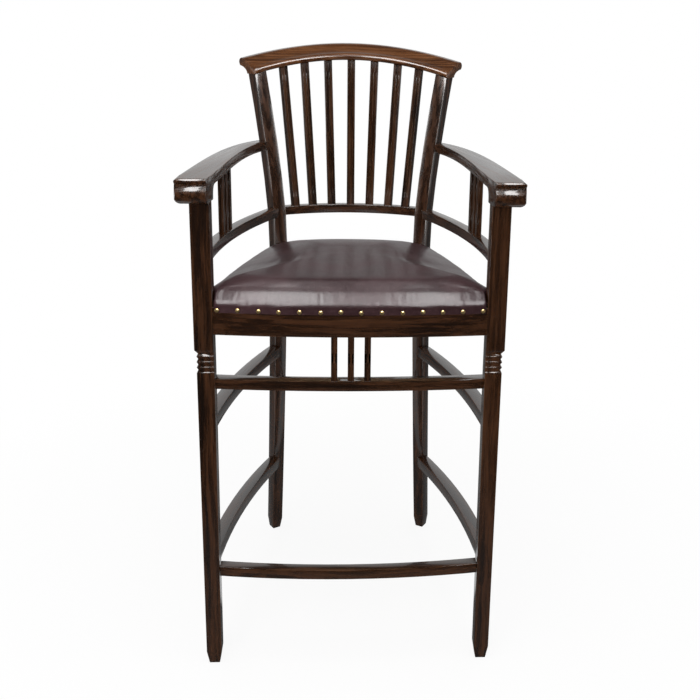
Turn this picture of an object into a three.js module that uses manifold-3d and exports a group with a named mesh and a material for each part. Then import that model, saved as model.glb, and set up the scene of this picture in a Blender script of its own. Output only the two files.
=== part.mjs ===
// Wooden bar stool with arms.
// Millimetres, +Z up. The sitter faces -Y and X = 0 is the middle of the stool.
// The right half is drawn and the left half is its mirror image. Every rail is drawn from the
// middle of one leg to the middle of the next, cut back to the faces of both, and keeps a tenon
// that enters a mortise in each leg.
import * as THREE from 'three';
import { mergeVertices } from 'three/addons/utils/BufferGeometryUtils.js';
import Module from 'manifold-3d';

// Fits and cuts shared by all joints
const fitGap = 0.3;
const overrun = 4;
const tenonThick = 8;
const tenonStop = 7;
const housingDepth = 10;

// Front legs, each one piece from the floor to the arm
const legSpread = 565;
const legThick = 34.5;
const legProud = 3;
const legFootThick = 29;
const footTip = 20;
const footChamfer = 28;
const bandDrop = 33.4;
const bandPitch = 10.4;
const bandRidges = 4;
const ridgeFlat = 2.4;
const grooveDepth = 3.4;
const bandChamfer = 5;
const legTenon = 17;
const legTenonRise = 20;

// Back posts, each one piece from the floor to the crest rail, turned to follow the bow of the back
const postTurn = THREE.MathUtils.degToRad(31);
const postWidth = 29;
const postDepth = 33.5;
const postFootShare = 0.88;
const postTip = 19;
const postSeatX = 162.5;
const postSeatY = 481;
const postKneeHeight = 770;
const postFootOut = 22.5;
const postFootBack = 68;
const postTopOut = 45;
const postTopBack = 54;
const postTopHeight = 1118.5;
const footCurve = 1.4;
const fanCurve = 1.35;
const leanCurve = 1.1;
const postShoulderShare = 0.25;
const postTenonRise = 14;
const postTenonShare = 0.5;

// Seat frame
const frameTop = 736;
const railHeight = 52;
const railThick = 24;
const frontRailBow = 17;
const frontRailSet = 0.5;
const sideRailBow = 12;
const backRailThick = 22;
const backRailBow = 15;
const blockReach = 74;
const blockBite = 9;
const blockHeight = 28;

// Seat: board, foam and leather cover
const boardThick = 6;
const boardInset = 11;
const leatherThick = 2;
const coverDrop = 9.5;
const cushionEdge = 4;
const cushionCrown = 42;
const cushionBulge = 1.5;
const seatCentreY = 252;
const crownPower = 2.2;
const rollPower = 1.6;

// Front stretchers and the spindles over the upper one
const upperFrontTop = 598.5;
const upperFrontHeight = 19.5;
const upperFrontDepth = 26;
const upperFrontBow = 15.5;
const footRailTop = 213;
const footRailHeight = 20;
const footRailDepth = 23;
const footRailBow = 21;
const stretcherSet = 4;
const frontSpindle = 11.6;
const frontSpindlePitch = 30.5;
const frontSpindleCount = 3;

// Side stretchers fall slightly towards the back
const sideWidth = 27;
const sideHeight = 24;
const sideBow = 18.4;
const upperSideFront = 514;
const upperSideBack = 500;
const lowerSideFront = 237;
const lowerSideBack = 203;

// Arms
const armTop = 970;
const armRise = 6;
const armDrop = 45;
const armThick = 19.5;
const armFrontReach = 24;
const armOverhang = 21.5;
const armInnerSet = -1.5;
const armReed = 4.5;
const armReedBack = 2;
const armGroove = 2.5;
const armReedEnd = THREE.MathUtils.degToRad(252);
const armNoseStart = THREE.MathUtils.degToRad(135);
const armCove = 20;
const armEndRound = 13;
const armTopRound = 3.5;
const armCornerRound = 6;
const armOuterShares = [[0.18, 0.39], [0.25, 0.81]];
const armInnerShares = [[0.25, 0.33], [0.16, 0.81]];
const armTenonLength = 20;
const armTail = 2.5;

// Arm rails and the spindles between them and the arms
const armRailTop = 829;
const armRailHeight = 20.5;
const armRailWidth = 22;
const armRailBow = 27;
const armSpindle = 10.5;
const armSpindleShares = [0.382, 0.43, 0.478];

// Back: crest rail, lower rail and slats, all on arcs about one upright axis
const crestDepth = 73;
const crestHeight = 36.5;
const crestRise = 33;
const crestEndShare = 0.92;
const crestBead = 7;
const crestBeadProud = 3;
const crestKnob = 9.5;
const crestLap = 2;
const crestBeadEnd = THREE.MathUtils.degToRad(-243);
const crestScoopShares = [0.33, 0.5];
const crestBrowShares = [0.68, 0.96];
const crestKnobStart = THREE.MathUtils.degToRad(76);
const crestKnobEnd = THREE.MathUtils.degToRad(-99);
const crestOverhang = 1.5;
const lowerRailTop = 830;
const lowerRailHeight = 18.5;
const lowerRailDepth = 24;
const slatWidth = 15.5;
const slatDepth = 13;
const slatInset = 13;
const slatAngleShares = [-0.73, -0.498, -0.248, 0, 0.248, 0.498, 0.73];
const fluteWidth = 5.5;
const fluteDepth = 2.4;
const fluteStop = 20;

// Smoothness of curved pieces
const barSteps = 12;
const arcSteps = 24;
const postSteps = 14;
const roundSteps = 5;
const crownRings = 8;

const wasm = await Module();
wasm.setup();

const lerp = THREE.MathUtils.lerp;
const vector = (x, y, z) => new THREE.Vector3(x, y, z);
const flat = (x, y) => new THREE.Vector2(x, y);

// Solids and their joining and cutting
function solidOf(geometry) {
  const bare = geometry.clone();
  bare.deleteAttribute('normal');
  bare.deleteAttribute('uv');
  const merged = mergeVertices(bare);
  return new wasm.Manifold(new wasm.Mesh({
    numProp: 3,
    vertProperties: new Float32Array(merged.attributes.position.array),
    triVerts: new Uint32Array(merged.index.array),
  }));
}

function geometryOf(solid) {
  const mesh = solid.getMesh();
  const geometry = new THREE.BufferGeometry();
  geometry.setAttribute('position', new THREE.BufferAttribute(new Float32Array(mesh.vertProperties), 3));
  geometry.setIndex(new THREE.BufferAttribute(new Uint32Array(mesh.triVerts), 1));
  return geometry;
}

function combine(first, others, action) {
  const result = others.reduce((solid, other) => solid[action](solidOf(other)), solidOf(first));
  return geometryOf(result);
}

const cut = (blank, ...tools) => combine(blank, tools, 'subtract');
const join = (...pieces) => combine(pieces[0], pieces.slice(1), 'add');
const overlapOf = (...pieces) => combine(pieces[0], pieces.slice(1), 'intersect');

function mirrored(geometry) {
  const copy = geometry.clone();
  copy.scale(-1, 1, 1);
  const index = copy.index.array;
  for (let i = 0; i < index.length; i += 3) {
    const first = index[i];
    index[i] = index[i + 1];
    index[i + 1] = first;
  }
  return copy;
}

const both = (geometry) => [geometry, mirrored(geometry)];

// A skin over rings of points, closed by a cap at each end
function loft(section, stations, place) {
  const outline = THREE.ShapeUtils.isClockWise(section) ? [...section].reverse() : section;
  const count = outline.length;
  const positions = stations.flatMap((station) => outline.flatMap((p) => place(p, station).toArray()));
  const index = [];
  for (let i = 0; i + 1 < stations.length; i++) {
    for (let j = 0; j < count; j++) {
      const a = i * count + j;
      const b = i * count + (j + 1) % count;
      index.push(a, b, b + count, a, b + count, a + count);
    }
  }
  const last = (stations.length - 1) * count;
  for (const [a, b, c] of THREE.ShapeUtils.triangulateShape(outline, [])) {
    index.push(a, c, b, last + a, last + b, last + c);
  }
  const geometry = new THREE.BufferGeometry();
  geometry.setAttribute('position', new THREE.Float32BufferAttribute(positions, 3));
  geometry.setIndex(index);
  return facingOut(geometry);
}

function facingOut(geometry) {
  const p = geometry.attributes.position;
  const index = geometry.index.array;
  const corner = [0, 1, 2].map(() => new THREE.Vector3());
  let volume = 0;
  for (let i = 0; i < index.length; i += 3) {
    corner.forEach((v, k) => v.fromBufferAttribute(p, index[i + k]));
    volume += corner[0].dot(corner[1].cross(corner[2]));
  }
  if (volume < 0) {
    for (let i = 0; i < index.length; i += 3) {
      [index[i], index[i + 1]] = [index[i + 1], index[i]];
    }
  }
  return geometry;
}

const steps = (from, to, count) => Array.from({ length: count + 1 }, (_, i) => lerp(from, to, i / count));

function rectangle(width, height, grow = 0) {
  const x = width / 2 + grow;
  const y = height / 2 + grow;
  return [flat(-x, -y), flat(x, -y), flat(x, y), flat(-x, y)];
}

function prism(shape, depth) {
  return new THREE.ExtrudeGeometry(shape, { depth, bevelEnabled: false, curveSegments: roundSteps });
}

// A circular arc in plan from one point to another, bowed to the left of its run
function bowPath(from, to, bow) {
  const run = to.clone().sub(from);
  const along = vector(run.x, run.y, 0);
  const chord = along.length();
  along.normalize();
  const out = vector(-along.y, along.x, 0);
  const side = Math.sign(bow) || 1;
  const rise = Math.abs(bow);
  const radius = (chord * chord / 4 + rise * rise) / (2 * rise);
  const half = Math.asin(chord / 2 / radius);
  return {
    length: chord,
    at(share) {
      const angle = (2 * share - 1) * half;
      const run = radius * Math.sin(angle) + chord / 2;
      const off = side * (radius * Math.cos(angle) - radius + rise);
      const point = from.clone().addScaledVector(along, run).addScaledVector(out, off);
      point.z = lerp(from.z, to.z, share);
      const normal = out.clone().multiplyScalar(Math.cos(angle)).addScaledVector(along, side * Math.sin(angle));
      return { point, normal };
    },
  };
}

// A bar of one section along a bow path, stopped short of both ends by a trim
function bar(path, width, height, { grow = 0, trim = 0 } = {}) {
  const start = (trim - grow) / path.length;
  return loft(rectangle(width, height, grow), steps(start, 1 - start, barSteps), (p, share) => {
    const { point, normal } = path.at(share);
    return point.addScaledVector(normal, p.x).add(vector(0, 0, p.y));
  });
}

// A rail between legs: the bar cut back to the legs, with a thinner core left on as its tenons
const tenonHeight = (height) => height / 2 + fitGap;

function railCore(path, height, grow = 0) {
  return bar(path, tenonThick, tenonHeight(height), { grow, trim: tenonStop });
}

function rail(path, width, height, legs) {
  return join(cut(bar(path, width, height), ...legs), railCore(path, height));
}

// Front leg
const legOuter = legSpread / 2;
const legMiddle = legOuter - legThick / 2;
const legMiddleY = legThick / 2;
const legTop = armTop - armDrop - fitGap;
const bandTop = frameTop - railHeight - bandDrop;
const bandBottom = bandTop - bandPitch * bandRidges;

// One face profile across a leg: reeds on the outer side, a straight taper on the inner side
function legProfile(grow) {
  const outer = legThick / 2 + grow;
  const lower = outer - legProud;
  const inner = -legThick / 2 - grow;
  const taper = legThick - legProud - legFootThick;
  const footMiddle = (lower + inner + taper) / 2;
  const tip = footTip / 2 + grow;
  const shape = new THREE.Shape();
  shape.moveTo(footMiddle - tip, 0);
  shape.lineTo(footMiddle + tip, 0);
  shape.lineTo(lower, footChamfer);
  shape.lineTo(lower, bandBottom);
  for (let ridge = 0; ridge < bandRidges; ridge++) {
    const base = bandBottom + ridge * bandPitch;
    const middle = base + (ridgeFlat + bandPitch) / 2;
    shape.lineTo(lower, base + ridgeFlat);
    shape.lineTo(lower - grooveDepth, middle);
  }
  shape.lineTo(outer, bandTop + bandChamfer);
  shape.lineTo(outer, legTop);
  shape.lineTo(inner, legTop);
  shape.lineTo(inner, bandBottom);
  shape.lineTo(inner + taper, footChamfer);
  shape.closePath();
  return shape;
}

function legBlank(grow = 0) {
  const depth = legThick + 2 * (grow + overrun);
  const acrossX = prism(legProfile(grow), depth).rotateX(Math.PI / 2).translate(0, depth / 2, 0);
  const acrossY = acrossX.clone().rotateZ(-Math.PI / 2);
  return overlapOf(acrossX, acrossY).translate(legMiddle, legMiddleY, 0);
}

function legTenonBlock(grow = 0) {
  const size = legTenon + 2 * grow;
  const height = legTenonRise + overrun + grow;
  return new THREE.BoxGeometry(size, size, height)
    .translate(legMiddle, legMiddleY, legTop - overrun + height / 2);
}

// Back post: its middle, width and depth at any height
function postAt(z) {
  if (z < postKneeHeight) {
    const fall = (1 - z / postKneeHeight) ** footCurve;
    return vector(postSeatX + postFootOut * fall, postSeatY + postFootBack * fall, z);
  }
  const climb = (z - postKneeHeight) / (postTopHeight - postKneeHeight);
  return vector(postSeatX + postTopOut * climb ** fanCurve, postSeatY + postTopBack * climb ** leanCurve, z);
}

const postAcross = vector(Math.cos(postTurn), -Math.sin(postTurn), 0);
const postBack = vector(Math.sin(postTurn), Math.cos(postTurn), 0);

function postScale(z) {
  const full = lerp(postFootShare, 1, Math.min(1, z / postKneeHeight));
  const tip = postTip / postWidth;
  return z < footChamfer ? lerp(tip, full, z / footChamfer) : full;
}

const postBlankTop = postTopHeight + crestRise * postShoulderShare;

function postBlank(grow = 0, share = 1, from = 0, to = postBlankTop) {
  const knee = [0, footChamfer].filter((z) => z >= from);
  const start = Math.max(from, footChamfer);
  const heights = [...new Set([...knee, ...steps(start, to, postSteps)])];
  return loft(rectangle(postWidth, postDepth), heights, (p, z) => {
    const scale = postScale(z) * share;
    const across = p.x * scale + Math.sign(p.x) * grow;
    const back = p.y * scale + Math.sign(p.y) * grow;
    return postAt(z).addScaledVector(postAcross, across).addScaledVector(postBack, back);
  });
}

// The arc of the back at a height: its axis and the radius of the post middles
function backArc(z) {
  const middle = postAt(z);
  const radius = middle.x / Math.sin(postTurn);
  return { radius, axisY: middle.y - radius * Math.cos(postTurn) };
}

function onBackArc(z, angle, radius, axisY) {
  return vector(radius * Math.sin(angle), axisY + radius * Math.cos(angle), z);
}

// Crest rail: a scrolled section swept along the arc of the back and arched upwards
function crestOutline() {
  const ofSection = (shares) => [shares[0] * crestDepth, shares[1] * crestHeight];
  const beadX = crestBead - crestBeadProud;
  const knobX = crestDepth - crestKnob;
  const knobY = crestHeight - crestKnob;
  const heelX = postDepth + crestLap;
  const shape = new THREE.Shape();
  shape.moveTo(heelX, 0);
  shape.lineTo(beadX, 0);
  shape.absarc(beadX, crestBead, crestBead, -Math.PI / 2, crestBeadEnd, true);
  shape.quadraticCurveTo(...ofSection(crestScoopShares), ...ofSection(crestBrowShares));
  shape.absarc(knobX, knobY, crestKnob, crestKnobStart, crestKnobEnd, true);
  shape.quadraticCurveTo(heelX + crestLap, crestHeight / 3, heelX, 0);
  const points = shape.getPoints(roundSteps);
  return points.filter((p, i) => i === 0 || p.distanceTo(points[i - 1]) > fitGap)
    .filter((p, i, list) => i === 0 || p.distanceTo(list[0]) > fitGap);
}

function crestBlank(drop = 0) {
  const { radius, axisY } = backArc(postTopHeight);
  const front = radius - postDepth / 2;
  const end = postTurn + (postWidth / 2 + crestOverhang) / radius;
  return loft(crestOutline(), steps(-end, end, arcSteps), (p, angle) => {
    const fall = (Math.sin(angle) / Math.sin(end)) ** 2;
    const tall = lerp(1, crestEndShare, fall);
    const z = postTopHeight - drop + crestRise * (1 - fall) + p.y * tall;
    return onBackArc(z, angle, front + p.x, axisY);
  });
}

// Slats: straight bars from the lower rail to the crest rail, turned to face the arc's axis
function slatEnds(angle) {
  const lowZ = lowerRailTop - housingDepth;
  const low = backArc(lowZ);
  const high = backArc(postTopHeight);
  const end = postTurn + (postWidth / 2 + crestOverhang) / high.radius;
  const highZ = postTopHeight + crestRise * (1 - (Math.sin(angle) / Math.sin(end)) ** 2) + housingDepth;
  return {
    foot: onBackArc(lowZ, angle, low.radius, low.axisY),
    head: onBackArc(highZ, angle, high.radius - postDepth / 2 + slatInset, high.axisY),
  };
}

function alongSlat(angle, outline, from, to, shift = 0) {
  const { foot, head } = slatEnds(angle);
  const run = head.clone().sub(foot).normalize();
  const across = vector(Math.cos(angle), -Math.sin(angle), 0);
  const facing = run.clone().cross(across).normalize();
  const length = head.distanceTo(foot);
  return loft(outline, [from, length + to], (p, s) => foot.clone().addScaledVector(run, s)
    .addScaledVector(across, p.x).addScaledVector(facing, p.y + shift));
}

function slat(angle) {
  const blank = alongSlat(angle, rectangle(slatWidth, slatDepth), 0, 0);
  const round = Array.from({ length: 2 * roundSteps }, (_, i) => {
    const turn = Math.PI * i / roundSteps;
    return flat(Math.cos(turn) * fluteWidth / 2, Math.sin(turn) * fluteDepth);
  });
  const stop = housingDepth + fluteStop;
  const fluteAt = (side) => alongSlat(angle, round, stop, -stop, side * slatDepth / 2);
  return cut(blank, fluteAt(-1), fluteAt(1));
}

const slatHousing = (angle) => alongSlat(angle, rectangle(slatWidth, slatDepth, fitGap), -fitGap, fitGap);

// Rails of the seat frame and the stretchers
const railMiddle = frameTop - railHeight / 2;
const frontRailY = legMiddleY + frontRailSet;

function frontPath(z, y, bow) {
  return bowPath(vector(legMiddle, y, z), vector(-legMiddle, y, z), bow);
}

function sidePath(zFront, zBack, bow) {
  return bowPath(vector(legMiddle, legMiddleY, zFront), postAt(zBack), -bow);
}

const mirrorOf = (p) => vector(-p.x, p.y, p.z);

function backPath(z) {
  const middle = postAt(z);
  const { radius } = backArc(z);
  const bow = radius - radius * Math.cos(postTurn);
  return bowPath(middle, mirrorOf(middle), -bow);
}

const sideZ = (top) => top - sideHeight / 2;
const paths = {
  frontRail: frontPath(railMiddle, frontRailY, frontRailBow),
  sideRail: sidePath(railMiddle, railMiddle, sideRailBow),
  backRail: bowPath(postAt(railMiddle), mirrorOf(postAt(railMiddle)), -backRailBow),
  upperFront: frontPath(upperFrontTop - upperFrontHeight / 2, legMiddleY + stretcherSet, upperFrontBow),
  footRail: frontPath(footRailTop - footRailHeight / 2, legMiddleY + stretcherSet, footRailBow),
  upperSide: sidePath(sideZ(upperSideFront), sideZ(upperSideBack), sideBow),
  lowerSide: sidePath(sideZ(lowerSideFront), sideZ(lowerSideBack), sideBow),
  armRail: sidePath(armRailTop - armRailHeight / 2, armRailTop - armRailHeight / 2, armRailBow),
  lowerRail: backPath(lowerRailTop - lowerRailHeight / 2),
};

// Spindles between the upper front stretcher and the front seat rail
function frontSpindleBar(x, grow = 0) {
  const low = upperFrontTop - housingDepth - grow;
  const high = frameTop - railHeight + housingDepth + grow;
  const y = (paths.upperFront.at(0.5).point.y + paths.frontRail.at(0.5).point.y) / 2;
  const size = frontSpindle + 2 * grow;
  return new THREE.BoxGeometry(size, size, high - low).translate(x, y, (low + high) / 2);
}

const frontSpindleX = (i) => (i - (frontSpindleCount - 1) / 2) * frontSpindlePitch;
const frontSpindleIndexes = Array.from({ length: frontSpindleCount }, (_, i) => i);
const frontSpindleHoles = frontSpindleIndexes.map((i) => frontSpindleBar(frontSpindleX(i), fitGap));

// Spindles between an arm and the rail below it
function armSpindleBar(share, grow = 0) {
  const { point, normal } = paths.armRail.at(share);
  const low = armRailTop - housingDepth - grow;
  const high = armTop - armThick + housingDepth - fitGap + grow;
  return loft(rectangle(armSpindle, armSpindle, grow), [low, high], (p, z) => vector(point.x, point.y, z)
    .addScaledVector(normal, p.x).addScaledVector(vector(-normal.y, normal.x, 0), p.y));
}

const armSpindleHoles = armSpindleShares.map((share) => armSpindleBar(share, fitGap));

// Armrest: where its side view, plan and front view overlap
const armFrontY = -armFrontReach;
const armOuterX = legOuter + armOverhang;
const armInnerX = legOuter - legThick - armInnerSet;
const armEndZ = armTop - armThick / 2;

function armSide() {
  const length = postAt(armEndZ).y + postDepth - armFrontY;
  const nose = (armDrop - 2 * armReed - armGroove / 2) / 2;
  const heel = armFrontReach + legThick + armGroove;
  const reed = flat(armReedBack + armReed, -armReed);
  const shape = new THREE.Shape();
  shape.moveTo(nose, -armDrop);
  shape.lineTo(heel, -armDrop);
  shape.lineTo(heel, -armThick - armCove);
  shape.quadraticCurveTo(heel, -armThick, heel + armCove, -armThick);
  shape.lineTo(length, armRise - armThick);
  shape.lineTo(length, armRise);
  shape.lineTo(reed.x, 0);
  shape.absarc(reed.x, reed.y, armReed, Math.PI / 2, armReedEnd, false);
  shape.lineTo(reed.x, 2 * reed.y - armGroove / 4);
  shape.absarc(nose, nose - armDrop, nose, armNoseStart, -Math.PI / 2, false);
  return shape;
}

function armEdge(start, end, shares) {
  const control = shares.map(([a, b]) => flat(lerp(start.x, end.x, a), lerp(start.y, end.y, b)));
  return new THREE.CubicBezierCurve(start, control[0], control[1], end).getPoints(arcSteps);
}

function armPlan() {
  const post = postAt(armEndZ);
  const corner = (back) => post.clone().addScaledVector(postAcross, postWidth / 2)
    .addScaledVector(postBack, back * (postDepth / 2 - fitGap));
  const outerEnd = corner(1).addScaledVector(postAcross, armTail);
  const innerEnd = corner(-1);
  const outer = armEdge(flat(armOuterX, armFrontY + armCornerRound), flat(outerEnd.x, outerEnd.y), armOuterShares);
  const inner = armEdge(flat(armInnerX, armFrontY), flat(innerEnd.x, innerEnd.y), armInnerShares).reverse();
  const shape = new THREE.Shape();
  shape.moveTo(armInnerX, armFrontY);
  shape.lineTo(armOuterX - armCornerRound, armFrontY);
  shape.quadraticCurveTo(armOuterX, armFrontY, armOuterX, armFrontY + armCornerRound);
  outer.slice(1).forEach((p) => shape.lineTo(p.x, p.y));
  shape.lineTo(post.x, post.y);
  inner.slice(0, -1).forEach((p) => shape.lineTo(p.x, p.y));
  shape.closePath();
  return shape;
}

function armFront() {
  const low = armTop - armDrop;
  const high = armTop + armRise;
  const shape = new THREE.Shape();
  shape.moveTo(0, low);
  shape.lineTo(armOuterX - armEndRound, low);
  shape.quadraticCurveTo(armOuterX, low, armOuterX, low + armEndRound);
  shape.lineTo(armOuterX, armTop - armTopRound);
  shape.lineTo(armOuterX - armTopRound, armTop);
  shape.lineTo(armOuterX - armTopRound, high);
  shape.lineTo(0, high);
  shape.closePath();
  return shape;
}

function armBlank() {
  const side = prism(armSide(), armOuterX + overrun).rotateX(Math.PI / 2).rotateZ(Math.PI / 2)
    .translate(0, armFrontY, armTop);
  const plan = prism(armPlan(), armDrop + armRise + 2 * overrun).translate(0, 0, armTop - armDrop - overrun);
  const length = postAt(armEndZ).y + postDepth - armFrontY + overrun;
  const front = prism(armFront(), length).rotateX(Math.PI / 2).translate(0, armFrontY + length, 0);
  return overlapOf(side, plan, front);
}

function armTenon(grow = 0) {
  const post = postAt(armEndZ);
  const start = vector(post.x, post.y, armEndZ + armRise).addScaledVector(postAcross, tenonStop - grow);
  const end = start.clone().addScaledVector(postAcross, armTenonLength + grow);
  return loft(rectangle(tenonThick, armThick / 2, grow), [0, 1], (p, share) => start.clone()
    .lerp(end, share).addScaledVector(postBack, p.x).add(vector(0, 0, p.y)));
}

// Legs with their mortises
const legGrown = both(legBlank(fitGap));
const postGrown = both(postBlank(fitGap));
const cores = (names, grow) => names.map((name) => railCore(paths[name], coreHeight[name], grow));
const coreHeight = {
  frontRail: railHeight,
  sideRail: railHeight,
  backRail: railHeight,
  upperFront: upperFrontHeight,
  footRail: footRailHeight,
  upperSide: sideHeight,
  lowerSide: sideHeight,
  armRail: armRailHeight,
  lowerRail: lowerRailHeight,
};

const legRails = ['frontRail', 'sideRail', 'upperFront', 'footRail', 'upperSide', 'lowerSide', 'armRail'];
const postRails = ['sideRail', 'backRail', 'upperSide', 'lowerSide', 'armRail', 'lowerRail'];

function frontLeg() {
  return join(cut(legBlank(), ...cores(legRails, fitGap)), legTenonBlock());
}

const postTenonFoot = postTopHeight - overrun;

function postTenon(grow = 0) {
  return postBlank(grow, postTenonShare, postTenonFoot, postTopHeight + postTenonRise + grow);
}

function backPost() {
  const shouldered = cut(postBlank(), crestBlank(fitGap));
  return cut(join(shouldered, postTenon()), ...cores(postRails, fitGap), armTenon(fitGap));
}

function crestRail() {
  return cut(crestBlank(), ...both(postTenon(fitGap)), ...slatAngleShares.map((s) => slatHousing(s * postTurn)));
}

function lowerBackRail() {
  const blank = rail(paths.lowerRail, lowerRailDepth, lowerRailHeight, postGrown);
  return cut(blank, ...slatAngleShares.map((s) => slatHousing(s * postTurn)));
}

function armrest() {
  const body = cut(armBlank(), postGrown[0]);
  return cut(join(body, armTenon()), legTenonBlock(fitGap), ...armSpindleHoles);
}

function armRail() {
  return cut(rail(paths.armRail, armRailWidth, armRailHeight, [legGrown[0], postGrown[0]]), ...armSpindleHoles);
}

// The four rails of the seat frame in order round the seat
const frameRails = {
  frontRail: railThick,
  sideRail: railThick,
  backRail: backRailThick,
};

const frontSeatRail = () => cut(rail(paths.frontRail, railThick, railHeight, legGrown), ...frontSpindleHoles);
const sideSeatRail = () => rail(paths.sideRail, railThick, railHeight, [legGrown[0], postGrown[0]]);
const backSeatRail = () => rail(paths.backRail, backRailThick, railHeight, postGrown);

// Corner blocks glued in the corners of the seat frame
function cornerBlock(corner, reachA, reachB) {
  const shape = new THREE.Shape([corner, reachA, reachB].map((p) => flat(p.x, p.y)));
  const blank = prism(shape, blockHeight).translate(0, 0, frameTop - blockHeight);
  const frame = Object.entries(frameRails).map(([name, thick]) => bar(paths[name], thick, railHeight, { grow: fitGap }));
  return cut(blank, ...frame, legGrown[0], postGrown[0]);
}

function alongRail(name, share, inward) {
  const { point, normal } = paths[name].at(share);
  return point.addScaledVector(normal, -outwards[name] * inward);
}

function frontBlock() {
  const inward = railThick / 2 - blockBite;
  const a = alongRail('frontRail', (legThick / 2 + blockReach) / paths.frontRail.length, inward);
  const b = alongRail('sideRail', (legThick / 2 + blockReach) / paths.sideRail.length, inward);
  return cornerBlock(vector(b.x, a.y, 0), a, b);
}

function backBlock() {
  const inward = railThick / 2 - blockBite;
  const a = alongRail('sideRail', 1 - (postDepth / 2 + blockReach) / paths.sideRail.length, inward);
  const b = alongRail('backRail', (postDepth / 2 + blockReach) / paths.backRail.length, inward);
  return cornerBlock(vector(postAt(railMiddle).x, postAt(railMiddle).y, 0), a, b);
}

// The side of each frame rail's path that faces out of the seat
const outwards = { frontRail: 1, sideRail: -1, backRail: -1 };

// Seat layers: rings of the frame's outer line, drawn in towards the middle of the seat
function seatLoop(offset) {
  const side = (name, count) => steps(0, 1, count).map((share) => {
    const { point, normal } = paths[name].at(share);
    return point.addScaledVector(normal, outwards[name] * (frameRails[name] / 2 + offset));
  });
  const right = side('sideRail', barSteps);
  const left = right.map(mirrorOf).reverse();
  return [...side('frontRail', arcSteps).reverse(), ...right, ...side('backRail', arcSteps), ...left];
}

const seatMiddle = vector(0, seatCentreY, 0);

// A closed skin whose rings are [share of the way out, outward offset, height]
function seatLayer(profile) {
  const rings = profile.map(([share, offset, z]) => seatLoop(offset).map((p) => {
    const ring = seatMiddle.clone().lerp(vector(p.x, p.y, 0), share);
    ring.z = z;
    return ring;
  }));
  const count = rings[0].length;
  const positions = rings.flatMap((ring) => ring.flatMap((p) => p.toArray()));
  const index = [];
  for (let i = 0; i + 1 < rings.length; i++) {
    for (let j = 0; j < count; j++) {
      const a = i * count + j;
      const b = i * count + (j + 1) % count;
      index.push(a, b, b + count, a, b + count, a + count);
    }
  }
  const geometry = new THREE.BufferGeometry();
  geometry.setAttribute('position', new THREE.Float32BufferAttribute(positions, 3));
  geometry.setIndex(index);
  return facingOut(mergeVertices(geometry));
}

const boardBottom = frameTop + fitGap;
const boardTop = boardBottom + boardThick;
const cushionShoulder = frameTop + cushionEdge;

function crownRingsAt(inset) {
  return steps(0, Math.PI / 2, crownRings).map((turn) => {
    const share = Math.max(0, Math.cos(turn)) ** (2 / crownPower);
    const z = cushionShoulder - inset + cushionCrown * Math.sin(turn) ** (2 / rollPower);
    return [turn === Math.PI / 2 ? 0 : share, fitGap + leatherThick + cushionBulge - inset, z];
  });
}

const seatCut = (blank) => cut(blank, ...legGrown, ...postGrown);

function seatBoard() {
  return seatCut(seatLayer([
    [0, 0, boardBottom], [1, -boardInset, boardBottom], [1, -boardInset, boardTop], [0, 0, boardTop],
  ]));
}

function seatFoam() {
  const bottom = boardTop + fitGap;
  const skirt = fitGap - boardInset;
  return seatCut(seatLayer([
    [0, 0, bottom], [1, skirt, bottom], [1, skirt, boardBottom], ...crownRingsAt(leatherThick + fitGap),
  ]));
}

function seatCover() {
  const hem = frameTop - coverDrop;
  const outer = crownRingsAt(0);
  const inner = crownRingsAt(leatherThick).reverse();
  return seatCut(seatLayer([
    ...inner, [1, fitGap, frameTop], [1, fitGap, hem],
    [1, fitGap + leatherThick, hem], [1, fitGap + leatherThick, frameTop], ...outer,
  ]));
}

// Finishes
const finish = (color, roughness) => () => new THREE.MeshStandardMaterial({ color, roughness, metalness: 0 });
const darkWood = finish(0x2e1a10, 0.35);
const innerWood = finish(0xa98455, 0.8);
const leather = finish(0x3b2226, 0.4);
const foam = finish(0xd9cc96, 0.95);

const stool = new THREE.Group();

// Each piece stands at its own middle, so its mesh has a place and its geometry is local
function add(name, geometry, material) {
  geometry.computeBoundingBox();
  const middle = geometry.boundingBox.getCenter(new THREE.Vector3());
  const mesh = new THREE.Mesh(geometry.translate(-middle.x, -middle.y, -middle.z), material());
  mesh.name = name;
  mesh.position.copy(middle);
  stool.add(mesh);
}

function addPair(name, geometry, material) {
  const [right, left] = both(geometry);
  add(`${name}_left`, left, material);
  add(`${name}_right`, right, material);
}

addPair('front_leg', frontLeg(), darkWood);
addPair('back_post', backPost(), darkWood);
add('front_seat_rail', frontSeatRail(), darkWood);
addPair('side_seat_rail', sideSeatRail(), darkWood);
add('back_seat_rail', backSeatRail(), darkWood);
addPair('front_corner_block', frontBlock(), innerWood);
addPair('back_corner_block', backBlock(), innerWood);
add('seat_board', seatBoard(), innerWood);
add('seat_foam', seatFoam(), foam);
add('seat_cover', seatCover(), leather);
const upperStretcher = rail(paths.upperFront, upperFrontDepth, upperFrontHeight, legGrown);
add('front_upper_stretcher', cut(upperStretcher, ...frontSpindleHoles), darkWood);
add('foot_rail', rail(paths.footRail, footRailDepth, footRailHeight, legGrown), darkWood);
frontSpindleIndexes.forEach((i) => add(`front_spindle_${i + 1}`, frontSpindleBar(frontSpindleX(i)), darkWood));
addPair('upper_side_stretcher', rail(paths.upperSide, sideWidth, sideHeight, [legGrown[0], postGrown[0]]), darkWood);
addPair('lower_side_stretcher', rail(paths.lowerSide, sideWidth, sideHeight, [legGrown[0], postGrown[0]]), darkWood);
addPair('armrest', armrest(), darkWood);
addPair('arm_rail', armRail(), darkWood);
armSpindleShares.forEach((share, i) => addPair(`arm_spindle_${i + 1}`, armSpindleBar(share), darkWood));
add('crest_rail', crestRail(), darkWood);
add('lower_back_rail', lowerBackRail(), darkWood);
slatAngleShares.forEach((share, i) => add(`back_slat_${i + 1}`, slat(share * postTurn), darkWood));

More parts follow.
